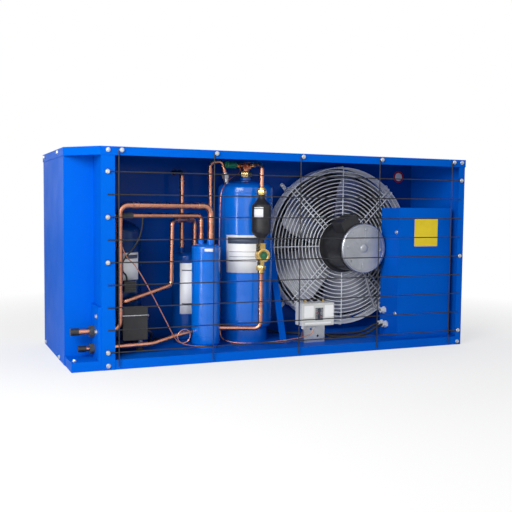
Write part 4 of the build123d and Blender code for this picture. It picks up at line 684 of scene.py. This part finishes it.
vessel_blue = finish_of("vessel_blue", (0.0004, 0.15, 0.68), (0.0004, 0.13, 0.61), patch=14.0,
                        rough=(0.12, 0.18), gloss=0.55, bump=0.05, grain=260.0, depth=0.0004)
separator_blue = finish_of("separator_blue", (0.0006, 0.050, 0.26), (0.0006, 0.040, 0.21),
                           patch=14.0, rough=(0.14, 0.22), gloss=0.3, bump=0.12, grain=260.0,
                           depth=0.0004)
compressor_navy = finish_of("compressor_navy", (0.0006, 0.036, 0.17), (0.0006, 0.028, 0.13),
                            patch=12.0, rough=(0.18, 0.28), gloss=0.24, grain=240.0,
                            dust=0.015, depth=0.0004)
for piece, skin, paint, slot, node in (
        ("compressor_skin", compressor_skin(), compressor_navy, "navy_paint", "compressor_shell"),
        ("accumulator_skin", accumulator_skin(), vessel_blue, "blue_paint", "accumulator"),
        ("oil_separator_skin", separator_skin(), separator_blue, "navy_paint", "oil_separator"),
        ("receiver_skin", receiver_skin(), vessel_blue, "blue_paint", "receiver")):
    fit(link_mesh(piece, skin, paint), slot, node)

# -------------------- compressor mounting
# A pressed plate under the shell stands on four rubber feet, with studs, washers and nuts.
dress(compressor_navy, "compressor_feet")
foot_rubber = finish_of("foot_rubber", (0.02, 0.02, 0.021), (0.032, 0.032, 0.033), patch=50.0,
                        rough=(0.6, 0.8), gloss=0.3, bump=0.2, grain=700.0, depth=0.0004)
dress(foot_rubber, "compressor_grommets")
FOOT_OFFSETS = (-75, 75)


def foot_studs():
    """A stud, a washer and a nut in each foot."""
    bm = bmesh.new()
    for i in FOOT_OFFSETS:
        for j in FOOT_OFFSETS:
            centre = place(132 + i, 187 + j, 25)
            rod_skin(bm, centre, UP, 0.004, 0.030, sides=20, soften=0.0008)
            rod_skin(bm, centre + Vector((0, 0, 0.020)), UP, 0.009, 0.0016, soften=0.0003)
            bar_skin(bm, centre + Vector((0, 0, 0.0216)), UP, 0.013, 0.006)
    return bm


zinc_plate = finish_of("zinc_plate", (0.60, 0.62, 0.64), (0.48, 0.50, 0.52), patch=30.0,
                       rough=(0.25, 0.42), metal=0.9, bump=0.12, depth=0.0002)
fit(link_mesh("foot_studs", foot_studs(), zinc_plate, 30), "zinc", "compressor_bolts")

# -------------------- compressor terminals
# Black moulded housing on the shell, with a lid held by a sprung wire bail, and the ribbed
# thermostat block above it. The mouldings have a fine spark-eroded grain.
black_moulding = finish_of("black_moulding", (0.014, 0.014, 0.016), (0.022, 0.022, 0.025),
                           patch=40.0, rough=(0.38, 0.5), gloss=0.45, bump=0.3, grain=1400.0,
                           depth=0.0002)
dress(black_moulding, "terminal_box", "terminal_cover", "thermostat_block")


def bail_line():
    """The wire of the bail, from pivot to pivot over the front of the lid."""
    left, right, front, back = 147.7, 220.8, 69.2, 86.0
    return [place(155, back, 108), place(left, back, 108), place(left, front, 128),
            place(right, front, 128), place(right, back, 108), place(213.5, back, 108)]


spring_wire = finish_of("spring_wire", (0.62, 0.63, 0.65), (0.5, 0.51, 0.53), patch=60.0,
                        rough=(0.2, 0.35), metal=1.0, bump=0.08, grain=1500.0)
fit(bent_wire([bail_line()], 0.0015, 0.0032, "terminal_bail_wire", spring_wire),
    "white_plastic", "terminal_bail")

# -------------------- copper lines
# Drawn copper tube, a little browned in patches, with a brazed socket at ports and elbows.
# Short sleeves stand for the sockets, and each ends in a pale ring of filler.
def drawn_copper(name, colour, tint, dark):
    """Bare copper with browner patches."""
    material = finish_of(name, colour, tint, patch=22.0, rough=(0.24, 0.34), metal=1.0, bump=0.0,
                         grain=380.0)
    nodes, links = material.node_tree.nodes, material.node_tree.links
    shader = nodes["Principled BSDF"]
    coords = next(n for n in nodes if n.type == "TEX_COORD").outputs["Object"]
    clean = shader.inputs["Base Color"].links[0].from_socket
    stain = nodes.new("ShaderNodeMix")
    stain.data_type = "RGBA"
    stain.inputs["B"].default_value = (*dark, 1)
    links.new(clean, stain.inputs["A"])
    links.new(effect(nodes, links, CLOUD, coords, 34.0, -0.30, 0.42), stain.inputs["Factor"])
    links.new(stain.outputs["Result"], shader.inputs["Base Color"])
    return material


copper = drawn_copper("copper", (0.72, 0.33, 0.22), (0.60, 0.25, 0.16), (0.36, 0.15, 0.10))
dress(copper, "suction_stub", "liquid_stub", "suction_line", "return_line", "discharge_line",
      "hot_gas_line", "condensate_line", "liquid_lines", "receiver_valve", "coil_tubes")
SOCKETS = (
    (139, 60, 132, UP, 7.94), (139, 60, 380, UP, 7.94),
    (176, 64, 422, (1, 0.12, 0), 7.94), (366, 87.4, 422, (1, 0.12, 0), 7.94),
    (404, 92, 330, UP, 7.94), (404, 92, 378, UP, 7.94),
    (384, 116, 330, UP, 6.35), (384, 116, 366, UP, 6.35),
    (392, 196, 302, UP, 6.35), (392, 196, 352, UP, 6.35),
    (356, 206, 302, UP, 6.35), (356, 206, 480, UP, 6.35),
    (548, 70, 116, UP, 6.35), (548, 120, 542, TO_REAR, 6.35),
    (96, 60, 94, (1, 0, 0), 7.94), (96, 60, 48.5, (1, 0, 0), 6.35),
)


def socket_skin():
    """A short sleeve with rolled mouths at every socket."""
    bm = bmesh.new()
    for x, y, z, direction, radius in SOCKETS:
        r = radius / 1000
        wall = r + 0.0009
        made = turned(bm, [(r, 0), (wall, 0.0006), (wall, 0.0134), (r, 0.014)], sides=32)
        move(bm, made, facing(direction, place(x, y, z)))
    return bm


def filler_skin():
    """A ring of filler at both mouths of every socket."""
    bm = bmesh.new()
    for x, y, z, direction, radius in SOCKETS:
        r = radius / 1000
        along_it = Vector(direction).normalized()
        for end in (-0.0012, 0.0136):
            ring = [(r, 0), (r + 0.0009, 0.0006), (r + 0.0007, 0.0014), (r, 0.0018)]
            move(bm, turned(bm, ring, sides=32), facing(direction, place(x, y, z) + along_it * end))
    return bm


braze = finish_of("braze", (0.62, 0.55, 0.42), (0.42, 0.32, 0.24), patch=180.0, rough=(0.3, 0.5),
                  metal=0.9, bump=0.3, depth=0.0002)
fit(link_mesh("tube_sockets", socket_skin(), copper), "copper")
fit(link_mesh("braze_rings", filler_skin(), braze), "brass")

# -------------------- labels and plates
# Bare self-adhesive labels and foil plates on the vessels, with a plain printed rule or two.
# They carry no words. Each bends with the wall that it is stuck to.
def wrapped(bm, axis_point, radius, turn_from, turn_to, low, high, steps=16):
    """A thin patch round an upright axis; turns are counted from the front, to the right."""
    held = set(bm.verts)
    rows = [bm.verts.new((0, -radius, z / 1000)) for z in (low, high)]
    edge = bm.edges.new(rows)
    begin = Matrix.Rotation(math.radians(turn_from), 4, "Z")
    move(bm, rows, begin)
    bmesh.ops.spin(bm, geom=rows + [edge], axis=UP, cent=(0, 0, 0), dvec=(0, 0, 0),
                   angle=math.radians(turn_to - turn_from), steps=steps)
    made = added(bm, held)
    faces = list({f for v in made for f in v.link_faces})
    outward = faces[0].calc_center_median()
    outward.z = 0
    if faces[0].normal.length == 0:
        bm.normal_update()
    if faces[0].normal.dot(outward) < 0:
        bmesh.ops.reverse_faces(bm, faces=faces)
    move(bm, made, Matrix.Translation((axis_point.x, axis_point.y, 0)))


def label_on(name, material, patches, thickness=0.0003):
    """Labels of one kind, each a patch with a real thickness."""
    bm = bmesh.new()
    for patch in patches:
        wrapped(bm, *patch)
    bm.normal_update()
    obj = link_mesh(name, bm, material, 60)
    shell = obj.modifiers.new("thickness", "SOLIDIFY")
    shell.thickness, shell.offset = thickness, 1.0
    return obj


LABEL_LIFT = 0.0001
paper = finish_of("label_paper", (0.90, 0.91, 0.92), (0.84, 0.85, 0.87), patch=25.0,
                  rough=(0.35, 0.5), gloss=0.4, bump=0.15, grain=300.0)
rule_ink = finish_of("label_rule", (0.05, 0.07, 0.12), (0.08, 0.10, 0.15), patch=80.0,
                       rough=(0.4, 0.5), gloss=0.3, bump=0.05, grain=600.0)
on_receiver = (RECEIVER, RECEIVER_R + LABEL_LIFT)
on_separator = (SEPARATOR, SEPARATOR_R + LABEL_LIFT)
on_accumulator = (ACCUMULATOR, ACCUMULATOR_R + LABEL_LIFT)
on_compressor = (COMPRESSOR, COMPRESSOR_R + LABEL_LIFT)
fit(label_on("vessel_labels", paper, [
    (*on_receiver, -64, 10, 230, 339), (*on_separator, -44, 14, 112, 258),
    (*on_accumulator, -25, 10, 296, 304.5), (*on_compressor, 15, 51, 220, 294)]), "white_plastic")
RULE_LIFT = 0.0004
over_receiver = (RECEIVER, RECEIVER_R + RULE_LIFT)
ruled = [(*over_receiver, -56, 2, level, level + 1.4) for level in (262, 276, 290)]
ruled += [(*over_receiver, -60, 6, 314, 332),
          (COMPRESSOR, COMPRESSOR_R + RULE_LIFT, 18, 48, 278, 288),
          (SEPARATOR, SEPARATOR_R + RULE_LIFT, -36, 8, 236, 239),
          (SEPARATOR, SEPARATOR_R + RULE_LIFT, -36, 8, 140, 143)]
fit(label_on("label_rules", rule_ink, ruled, 0.0001), "black_wire")


def flat_plate(bm, centre, size, corner=0.002):
    """A thin plate that faces the front, with rounded corners."""
    made = block(bm, size)
    uprights = [e for e in {e for v in made for e in v.link_edges}
                if abs(e.verts[0].co.y - e.verts[1].co.y) > size[1] / 2]
    move(bm, softened(bm, made, uprights, corner, 3), Matrix.Translation(centre))


# -------------------- box label and wall badge
# A bare yellow plate on the box cover, and a small round plate on the fan wall: pale with a
# red rim. Both are foil stuck on the paint.
yellow_foil = finish_of("yellow_foil", (0.85, 0.66, 0.02), (0.80, 0.60, 0.02), patch=30.0,
                        rough=(0.3, 0.42), gloss=0.4, bump=0.08, grain=500.0)
plate = bmesh.new()
flat_plate(plate, place(1081, 29.85, 346.5), (0.084, 0.0003, 0.083))
fit(link_mesh("box_label", plate, yellow_foil), "white_plastic")

red_print = finish_of("red_print", (0.50, 0.02, 0.03), (0.42, 0.02, 0.03), patch=60.0,
                      rough=(0.3, 0.4), bump=0.05, grain=500.0)
badge = bmesh.new()
rod_skin(badge, place(1145.5, 285, 525.5), TO_FRONT, 0.020, 0.0006, sides=48, soften=0.0002)
fit(link_mesh("wall_badge", badge, red_print), "black_wire")
badge_face = bmesh.new()
rod_skin(badge_face, place(1145.5, 284.4, 525.5), TO_FRONT, 0.0135, 0.0003, sides=40)
fit(link_mesh("wall_badge_face", badge_face, paper), "white_plastic")

# -------------------- receiver fittings
# Plated steel inlet, copper-plated outlet valve with brass nuts, and its green plastic cap.
brass = finish_of("brass", (0.80, 0.56, 0.20), (0.66, 0.43, 0.14), patch=60.0, rough=(0.16, 0.32),
                  metal=1.0, bump=0.12, grain=700.0)
green_cap = finish_of("green_cap", (0.005, 0.22, 0.10), (0.005, 0.17, 0.08), patch=80.0,
                      rough=(0.25, 0.35))
dress(zinc_plate, "receiver_inlet", "coil_frame", "switch_bracket", "fan_ring")
dress(green_cap, "receiver_valve_cap")
STEM_TURN, STEM_BOSS, VALVE_LEVEL = math.radians(20), 26.0, 542.0


def on_stem(distance):
    """A point out along the stem of the receiver valve."""
    x, y = math.cos(STEM_TURN) * distance, math.sin(STEM_TURN) * distance
    return place(548 - x, 190 - y, VALVE_LEVEL)


def nuts_skin():
    """Two flare nuts on the liquid line, the neck nut and the gland nut of the valve."""
    bm = bmesh.new()
    nut, collar = 0.6, 0.4
    for x, y, z, height, collar_up in ((548, 70, 455, 22, True), (548, 70, 232, 22, False)):
        low = z if collar_up else z + collar * height
        bar_skin(bm, place(x, y, low), UP, 0.024, nut * height / 1000)
        skirt = z + nut * height if collar_up else z + collar * height
        rod_skin(bm, place(x, y, skirt), (0, 0, 1 if collar_up else -1), 0.0098,
                 collar * height / 1000, soften=0.002)
    bar_skin(bm, place(548, 190, 509), UP, 0.034, 0.016, soften=0.0015)
    stem = Vector((-math.cos(STEM_TURN), -math.sin(STEM_TURN), 0))
    bar_skin(bm, on_stem(STEM_BOSS), stem, 0.017, 0.017)
    return bm


fit(link_mesh("union_nuts_turned", nuts_skin(), brass, 30), "brass", "union_nuts")

# -------------------- filter drier
# Spun steel shell in black enamel with coned ends and flare ends, and a small bare label.
DRIER = place(548, 70, 0)


def drier_skin():
    """The shell with a weld near each end, coned down to its two flares."""
    bm = bmesh.new()
    low, high, r, neck = 0.346, 0.428, 0.0275, 0.009
    cone = [(neck, low - 0.028), (neck, low - 0.019), (neck + 0.003, low - 0.014),
            (r - 0.006, low - 0.003), (r - 0.0015, low + 0.001), (r, low + 0.005)]
    tip = [(r, high - 0.005), (r - 0.0015, high - 0.001), (r - 0.006, high + 0.003),
           (neck + 0.003, high + 0.014), (neck, high + 0.019), (neck, high + 0.027),
           (0, high + 0.027)]
    welds = weld_bead(r, low + 0.012) + weld_bead(r, high - 0.012)
    outline = [(0, low - 0.028)] + cone + welds + tip
    move(bm, turned(bm, outline, sides=64), Matrix.Translation(DRIER))
    return bm


fit(link_mesh("filter_drier_shell", drier_skin(), black_coat, 35), "black_wire", "filter_drier")
fit(label_on("drier_label", paper, [(DRIER, 0.0276, -70, -12, 392, 420)]), "white_plastic")

# -------------------- sight glass
# Forged brass body; a glass port to the front with a green moisture dot behind it.
dress(brass, "sight_glass_body", "cutin_spindle", "cutout_spindle")
port = finish_of("sight_port", (0.05, 0.16, 0.07), (0.03, 0.10, 0.05), patch=120.0,
                 rough=(0.05, 0.1), gloss=0.8, bump=0.02, grain=200.0)
dress(port, "sight_glass_lens")


def port_ring():
    """The turned rim round the glass."""
    bm = bmesh.new()
    made = turned(bm, [(0.0120, 0), (0.0190, 0), (0.0190, 0.0006), (0.0175, 0.0012),
                       (0.0135, 0.0012), (0.0120, 0.0004)], sides=48, closed=True)
    move(bm, made, facing(TO_FRONT, place(548, 50, 284)))
    return bm


fit(link_mesh("sight_glass_ring", port_ring(), brass), "brass")
dot = bmesh.new()
rod_skin(dot, place(548, 51.0, 284), TO_FRONT, 0.004, 0.0002, sides=32)
fit(link_mesh("moisture_dot", dot, green_cap), "green_plastic")

# -------------------- stub caps and foam sleeves
# Vinyl caps pushed over the open stubs, with a flange at the mouth, and closed-cell foam
# sleeves round the lines, which are ragged and dark.
vinyl = finish_of("vinyl", (0.010, 0.010, 0.011), (0.02, 0.02, 0.021), patch=90.0,
                  rough=(0.3, 0.45), bump=0.15, grain=500.0, depth=0.0002)
foam = finish_of("foam", (0.045, 0.05, 0.055), (0.075, 0.08, 0.085), patch=120.0,
                 rough=(0.85, 0.95), gloss=0.15, bump=0.8, depth=0.0006)
dress(vinyl, "suction_cap", "liquid_cap")
dress(foam, "pipe_sleeves")

# -------------------- pressure switch
# Dual pressure switch: light grey moulding with a window over its two scales, slotted brass
# spindles on top and a galvanised bracket behind. The scales have ticks and no words.
pale_moulding = finish_of("pale_moulding", (0.66, 0.67, 0.66), (0.58, 0.59, 0.58), patch=40.0,
                          rough=(0.35, 0.48), gloss=0.4, bump=0.25, grain=1200.0, depth=0.0002)
dress(pale_moulding, "switch_body", "switch_cover")
dark_window = finish_of("dark_window", (0.02, 0.03, 0.05), (0.03, 0.04, 0.07), patch=60.0,
                        rough=(0.06, 0.12), gloss=0.7, bump=0.02, grain=300.0)
dress(dark_window, "switch_window")


def scale_marks():
    """Ticks and a line for each of the two scales."""
    bm = bmesh.new()
    for x, line in ((706.5, -3.6), (719.5, 3.6)):
        for i in range(11):
            width = 5.0 if i % 5 == 0 else 3.0
            flat_plate(bm, place(x, 23.45, 99 + 3.0 * i), (width / 1000, 0.0001, 0.0005), 0.0001)
        flat_plate(bm, place(x + line, 23.45, 114), (0.0006, 0.0001, 0.031), 0.0001)
    return bm


fit(link_mesh("switch_scale_marks", scale_marks(), paper), "white_plastic")
mark = bmesh.new()
for x, level in ((706.5, 117), (719.5, 108)):
    flat_plate(mark, place(x, 23.4, level), (0.008, 0.0001, 0.0011), 0.0001)
fit(link_mesh("switch_pointers", mark, red_print), "black_wire")
panel = bmesh.new()
for x, z, width, height in ((679, 122, 30, 34), (744, 122, 28, 34), (709, 88, 84, 5)):
    flat_plate(panel, place(x, 21.9, z), (width / 1000, 0.0003, height / 1000), 0.0015)
fit(link_mesh("switch_panels", panel, paper), "white_plastic")

# -------------------- electrical box fittings
# Nylon glands in the box's side; the gear on its rail inside is grey moulding.
white_nylon = finish_of("white_nylon", (0.70, 0.71, 0.70), (0.62, 0.63, 0.62), patch=90.0,
                        rough=(0.4, 0.55), gloss=0.4)
dress(white_nylon, "cable_glands")
dress(pale_moulding, "box_electrics")

# -------------------- leads and capillaries
# Black rubber cables from the glands to the switch and the compressor, the fan's grey sleeved
# lead, the thermostat's sensor lead, and the two bare copper capillaries. All are clipped or
# screwed in at both ends.
def held_lead(name, routes, radius, material):
    """A lead that is held at both ends, as a smooth curve of round section."""
    obj, data = round_curve(name, radius, 3, material)
    data.resolution_u = 8
    for route in routes:
        spline = data.splines.new("NURBS")
        spline.points.add(len(route) - 1)
        for point, where in zip(spline.points, route):
            point.co = (*place(*where), 1)
        spline.order_u, spline.use_endpoint_u = 3, True
    return obj


switch_route = [(988, 92, 61), (957, 92, 61), (918, 88, 36), (868, 84, 30.5), (812, 92, 30.5),
                (772, 88, 36), (739, 90, 66), (735, 86, 102), (735, 64, 102)]
compressor_route = [
    (988, 115, 61), (957, 115, 61), (926, 122, 38), (880, 128, 31), (800, 146, 31), (716, 190, 31),
    (660, 262, 31), (570, 276, 31), (470, 276, 31), (370, 268, 31), (290, 240, 31), (250, 190, 33),
    (241, 130, 50), (240, 100, 80), (216, 100, 80)]
motor_route = [(924, 124, 238), (926, 128, 228), (930, 126, 197), (944, 116, 137), (955, 104, 104),
               (988, 104, 104)]
sensor_route = [(208, 87, 388), (208, 84, 366), (190, 74, 318), (146, 78, 270), (152, 80, 244),
                (166, 90, 234), (166, 90, 218)]
cable_black = finish_of("cable_black", (0.012, 0.012, 0.013), (0.022, 0.022, 0.023), patch=60.0,
                        rough=(0.4, 0.55), gloss=0.4, grain=700.0)
sleeve_grey = finish_of("sleeve_grey", (0.16, 0.17, 0.19), (0.24, 0.25, 0.27), patch=150.0,
                        rough=(0.5, 0.7), gloss=0.35, bump=0.6, grain=1100.0, depth=0.0004)
fit(held_lead("black_cables", [switch_route, compressor_route], 0.0036, cable_black),
    "black_rubber", "cables")
fit(held_lead("motor_lead", [motor_route], 0.0036, sleeve_grey), "black_rubber")
fit(held_lead("sensor_lead", [sensor_route], 0.0022, cable_black), "black_rubber")

low_route = [
    (132.2, 73, 332), (144, 74, 330), (158, 72, 284), (186, 66, 262), (250, 56, 140), (288, 52, 62),
    (304, 51, 47), (329, 49.5, 54), (332, 48.5, 80), (312, 47.5, 90), (292, 46.5, 74),
    (298, 45.5, 50), (350, 45, 37), (470, 46, 34.5), (610, 47, 38), (690, 43, 48), (705, 42, 60),
    (705, 42, 71)]
high_route = [
    (529.2, 183.2, 534), (529.2, 183.2, 520), (498, 160, 510), (462, 150, 482), (450, 147, 440),
    (450, 147, 60), (458, 130, 31), (520, 84, 29), (664, 66, 29), (672, 44, 45), (672, 42, 71)]
fit(held_lead("capillary_tubes", [low_route, high_route], 0.0013, copper), "copper", "capillaries")

# -------------------- fan motor
# External motor in a black can with cooling ribs, a cast end shield with four through bolts,
# and a moulded terminal box. The wire guard holds its rear flange.
cast_alloy = finish_of("cast_alloy", (0.50, 0.52, 0.56), (0.40, 0.42, 0.46), patch=26.0,
                       rough=(0.3, 0.45), metal=0.9, bump=0.4, grain=650.0, depth=0.0003)
motor_black = finish_of("motor_black", (0.016, 0.016, 0.018), (0.028, 0.028, 0.031), patch=30.0,
                        rough=(0.32, 0.45), gloss=0.45, bump=0.25, grain=500.0, depth=0.0003)
dress(motor_black, "motor_body")
dress(black_moulding, "motor_terminal_box")
dress(cast_alloy, "motor_end_shield")


def shield_details():
    """Raised centre boss, bolt heads and a rim bead on the end shield."""
    bm = bmesh.new()
    boss = turned(bm, [(0, 0.0022), (0.008, 0.0022), (0.0105, 0.0016), (0.0125, 0)], sides=48)
    move(bm, boss, facing(TO_FRONT, on_fan(0, 0, 97)))
    rim = turned(bm, [(0.0665, 0), (0.0672, 0.0012), (0.0695, 0.0012), (0.0702, 0)], sides=72)
    move(bm, rim, facing(TO_FRONT, on_fan(0, 0, 97)))
    for i in range(4):
        bar_skin(bm, on_fan(85 + 90 * i, 58, 97), TO_FRONT, 0.008, 0.0036, 0.0005)
    for i in range(12):
        rib = block(bm, (0.030, 0.0012, 0.0022))
        turn = Matrix.Rotation(-math.radians(25 + 30 * i), 4, "Y")
        move(bm, rib, Matrix.Translation(on_fan(25 + 30 * i, 38, 96.6)) @ turn)
    return bm


fit(link_mesh("end_shield_details", shield_details(), cast_alloy, 30), "cast_alloy")

# -------------------- fan
# Five pressed aluminium blades riveted round a pressed hub, which is clamped on the shaft.
blade_metal = finish_of("blade_metal", (0.42, 0.43, 0.47), (0.34, 0.35, 0.39), patch=8.0,
                        rough=(0.3, 0.42), metal=0.85, grain=500.0, stretch=(1, 1, 12))
dress(blade_metal, "fan_blades", "fan_hub")


def hub_rivets():
    """Two rivet heads at the root of each blade."""
    bm = bmesh.new()
    for blade in range(5):
        for row in (-9, 9):
            turn = math.radians(72 * blade + 20 + row)
            outward = Vector((math.sin(turn), 0, math.cos(turn)))
            centre = on_fan(0, 0, 299) + outward * 0.052
            head = [(0.0034, 0), (0.0028, 0.0012), (0.0012, 0.0018), (0, 0.0019)]
            move(bm, turned(bm, head, sides=16), facing(TO_REAR, centre))
    return bm


fit(link_mesh("hub_rivets", hub_rivets(), zinc_plate, 40), "cast_alloy", body="fan")

# -------------------- condenser coil
# Copper tubes through a stack of thin aluminium fins, with their edges at the rear of the
# casing. Each fin is a plain plate; one pattern is repeated along the coil.
FIN_PITCH, FIN_THICKNESS = 0.0030, 0.00045
coil_low, coil_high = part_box("coil_fins")
fin_metal = finish_of("fin_metal", (0.58, 0.60, 0.62), (0.46, 0.48, 0.50), patch=18.0,
                      rough=(0.35, 0.5), metal=0.8, grain=600.0, dust=0.1)


def fin_stack():
    """Fins at one pitch from end to end of the coil."""
    bm = bmesh.new()
    size, middle = coil_high - coil_low, (coil_low + coil_high) / 2
    count = int(size.x / FIN_PITCH)
    for i in range(count + 1):
        x = coil_low.x + FIN_THICKNESS / 2 + (size.x - FIN_THICKNESS) * i / count
        fin = bmesh.ops.create_cube(bm, size=1)["verts"]
        stretch = Matrix.Diagonal((FIN_THICKNESS, size.y, size.z, 1))
        move(bm, fin, Matrix.Translation((x, middle.y, middle.z)) @ stretch)
    return bm


def coil_rods():
    """Two staggered rows of straight tubes between the hairpins."""
    bm = bmesh.new()
    for row in (0, 1):
        for i in range(10):
            start = place(36, 399 + 36 * row, 70 + 48 * i + 12 * row)
            straight_wire(bm, start, start + Vector((1.128, 0, 0)), 0.0048, sides=16)
    return bm


fit(link_mesh("coil_fin_stack", fin_stack(), fin_metal, 30), "cast_alloy", "coil_fins")
fit(link_mesh("coil_straight_tubes", coil_rods(), copper), "copper")
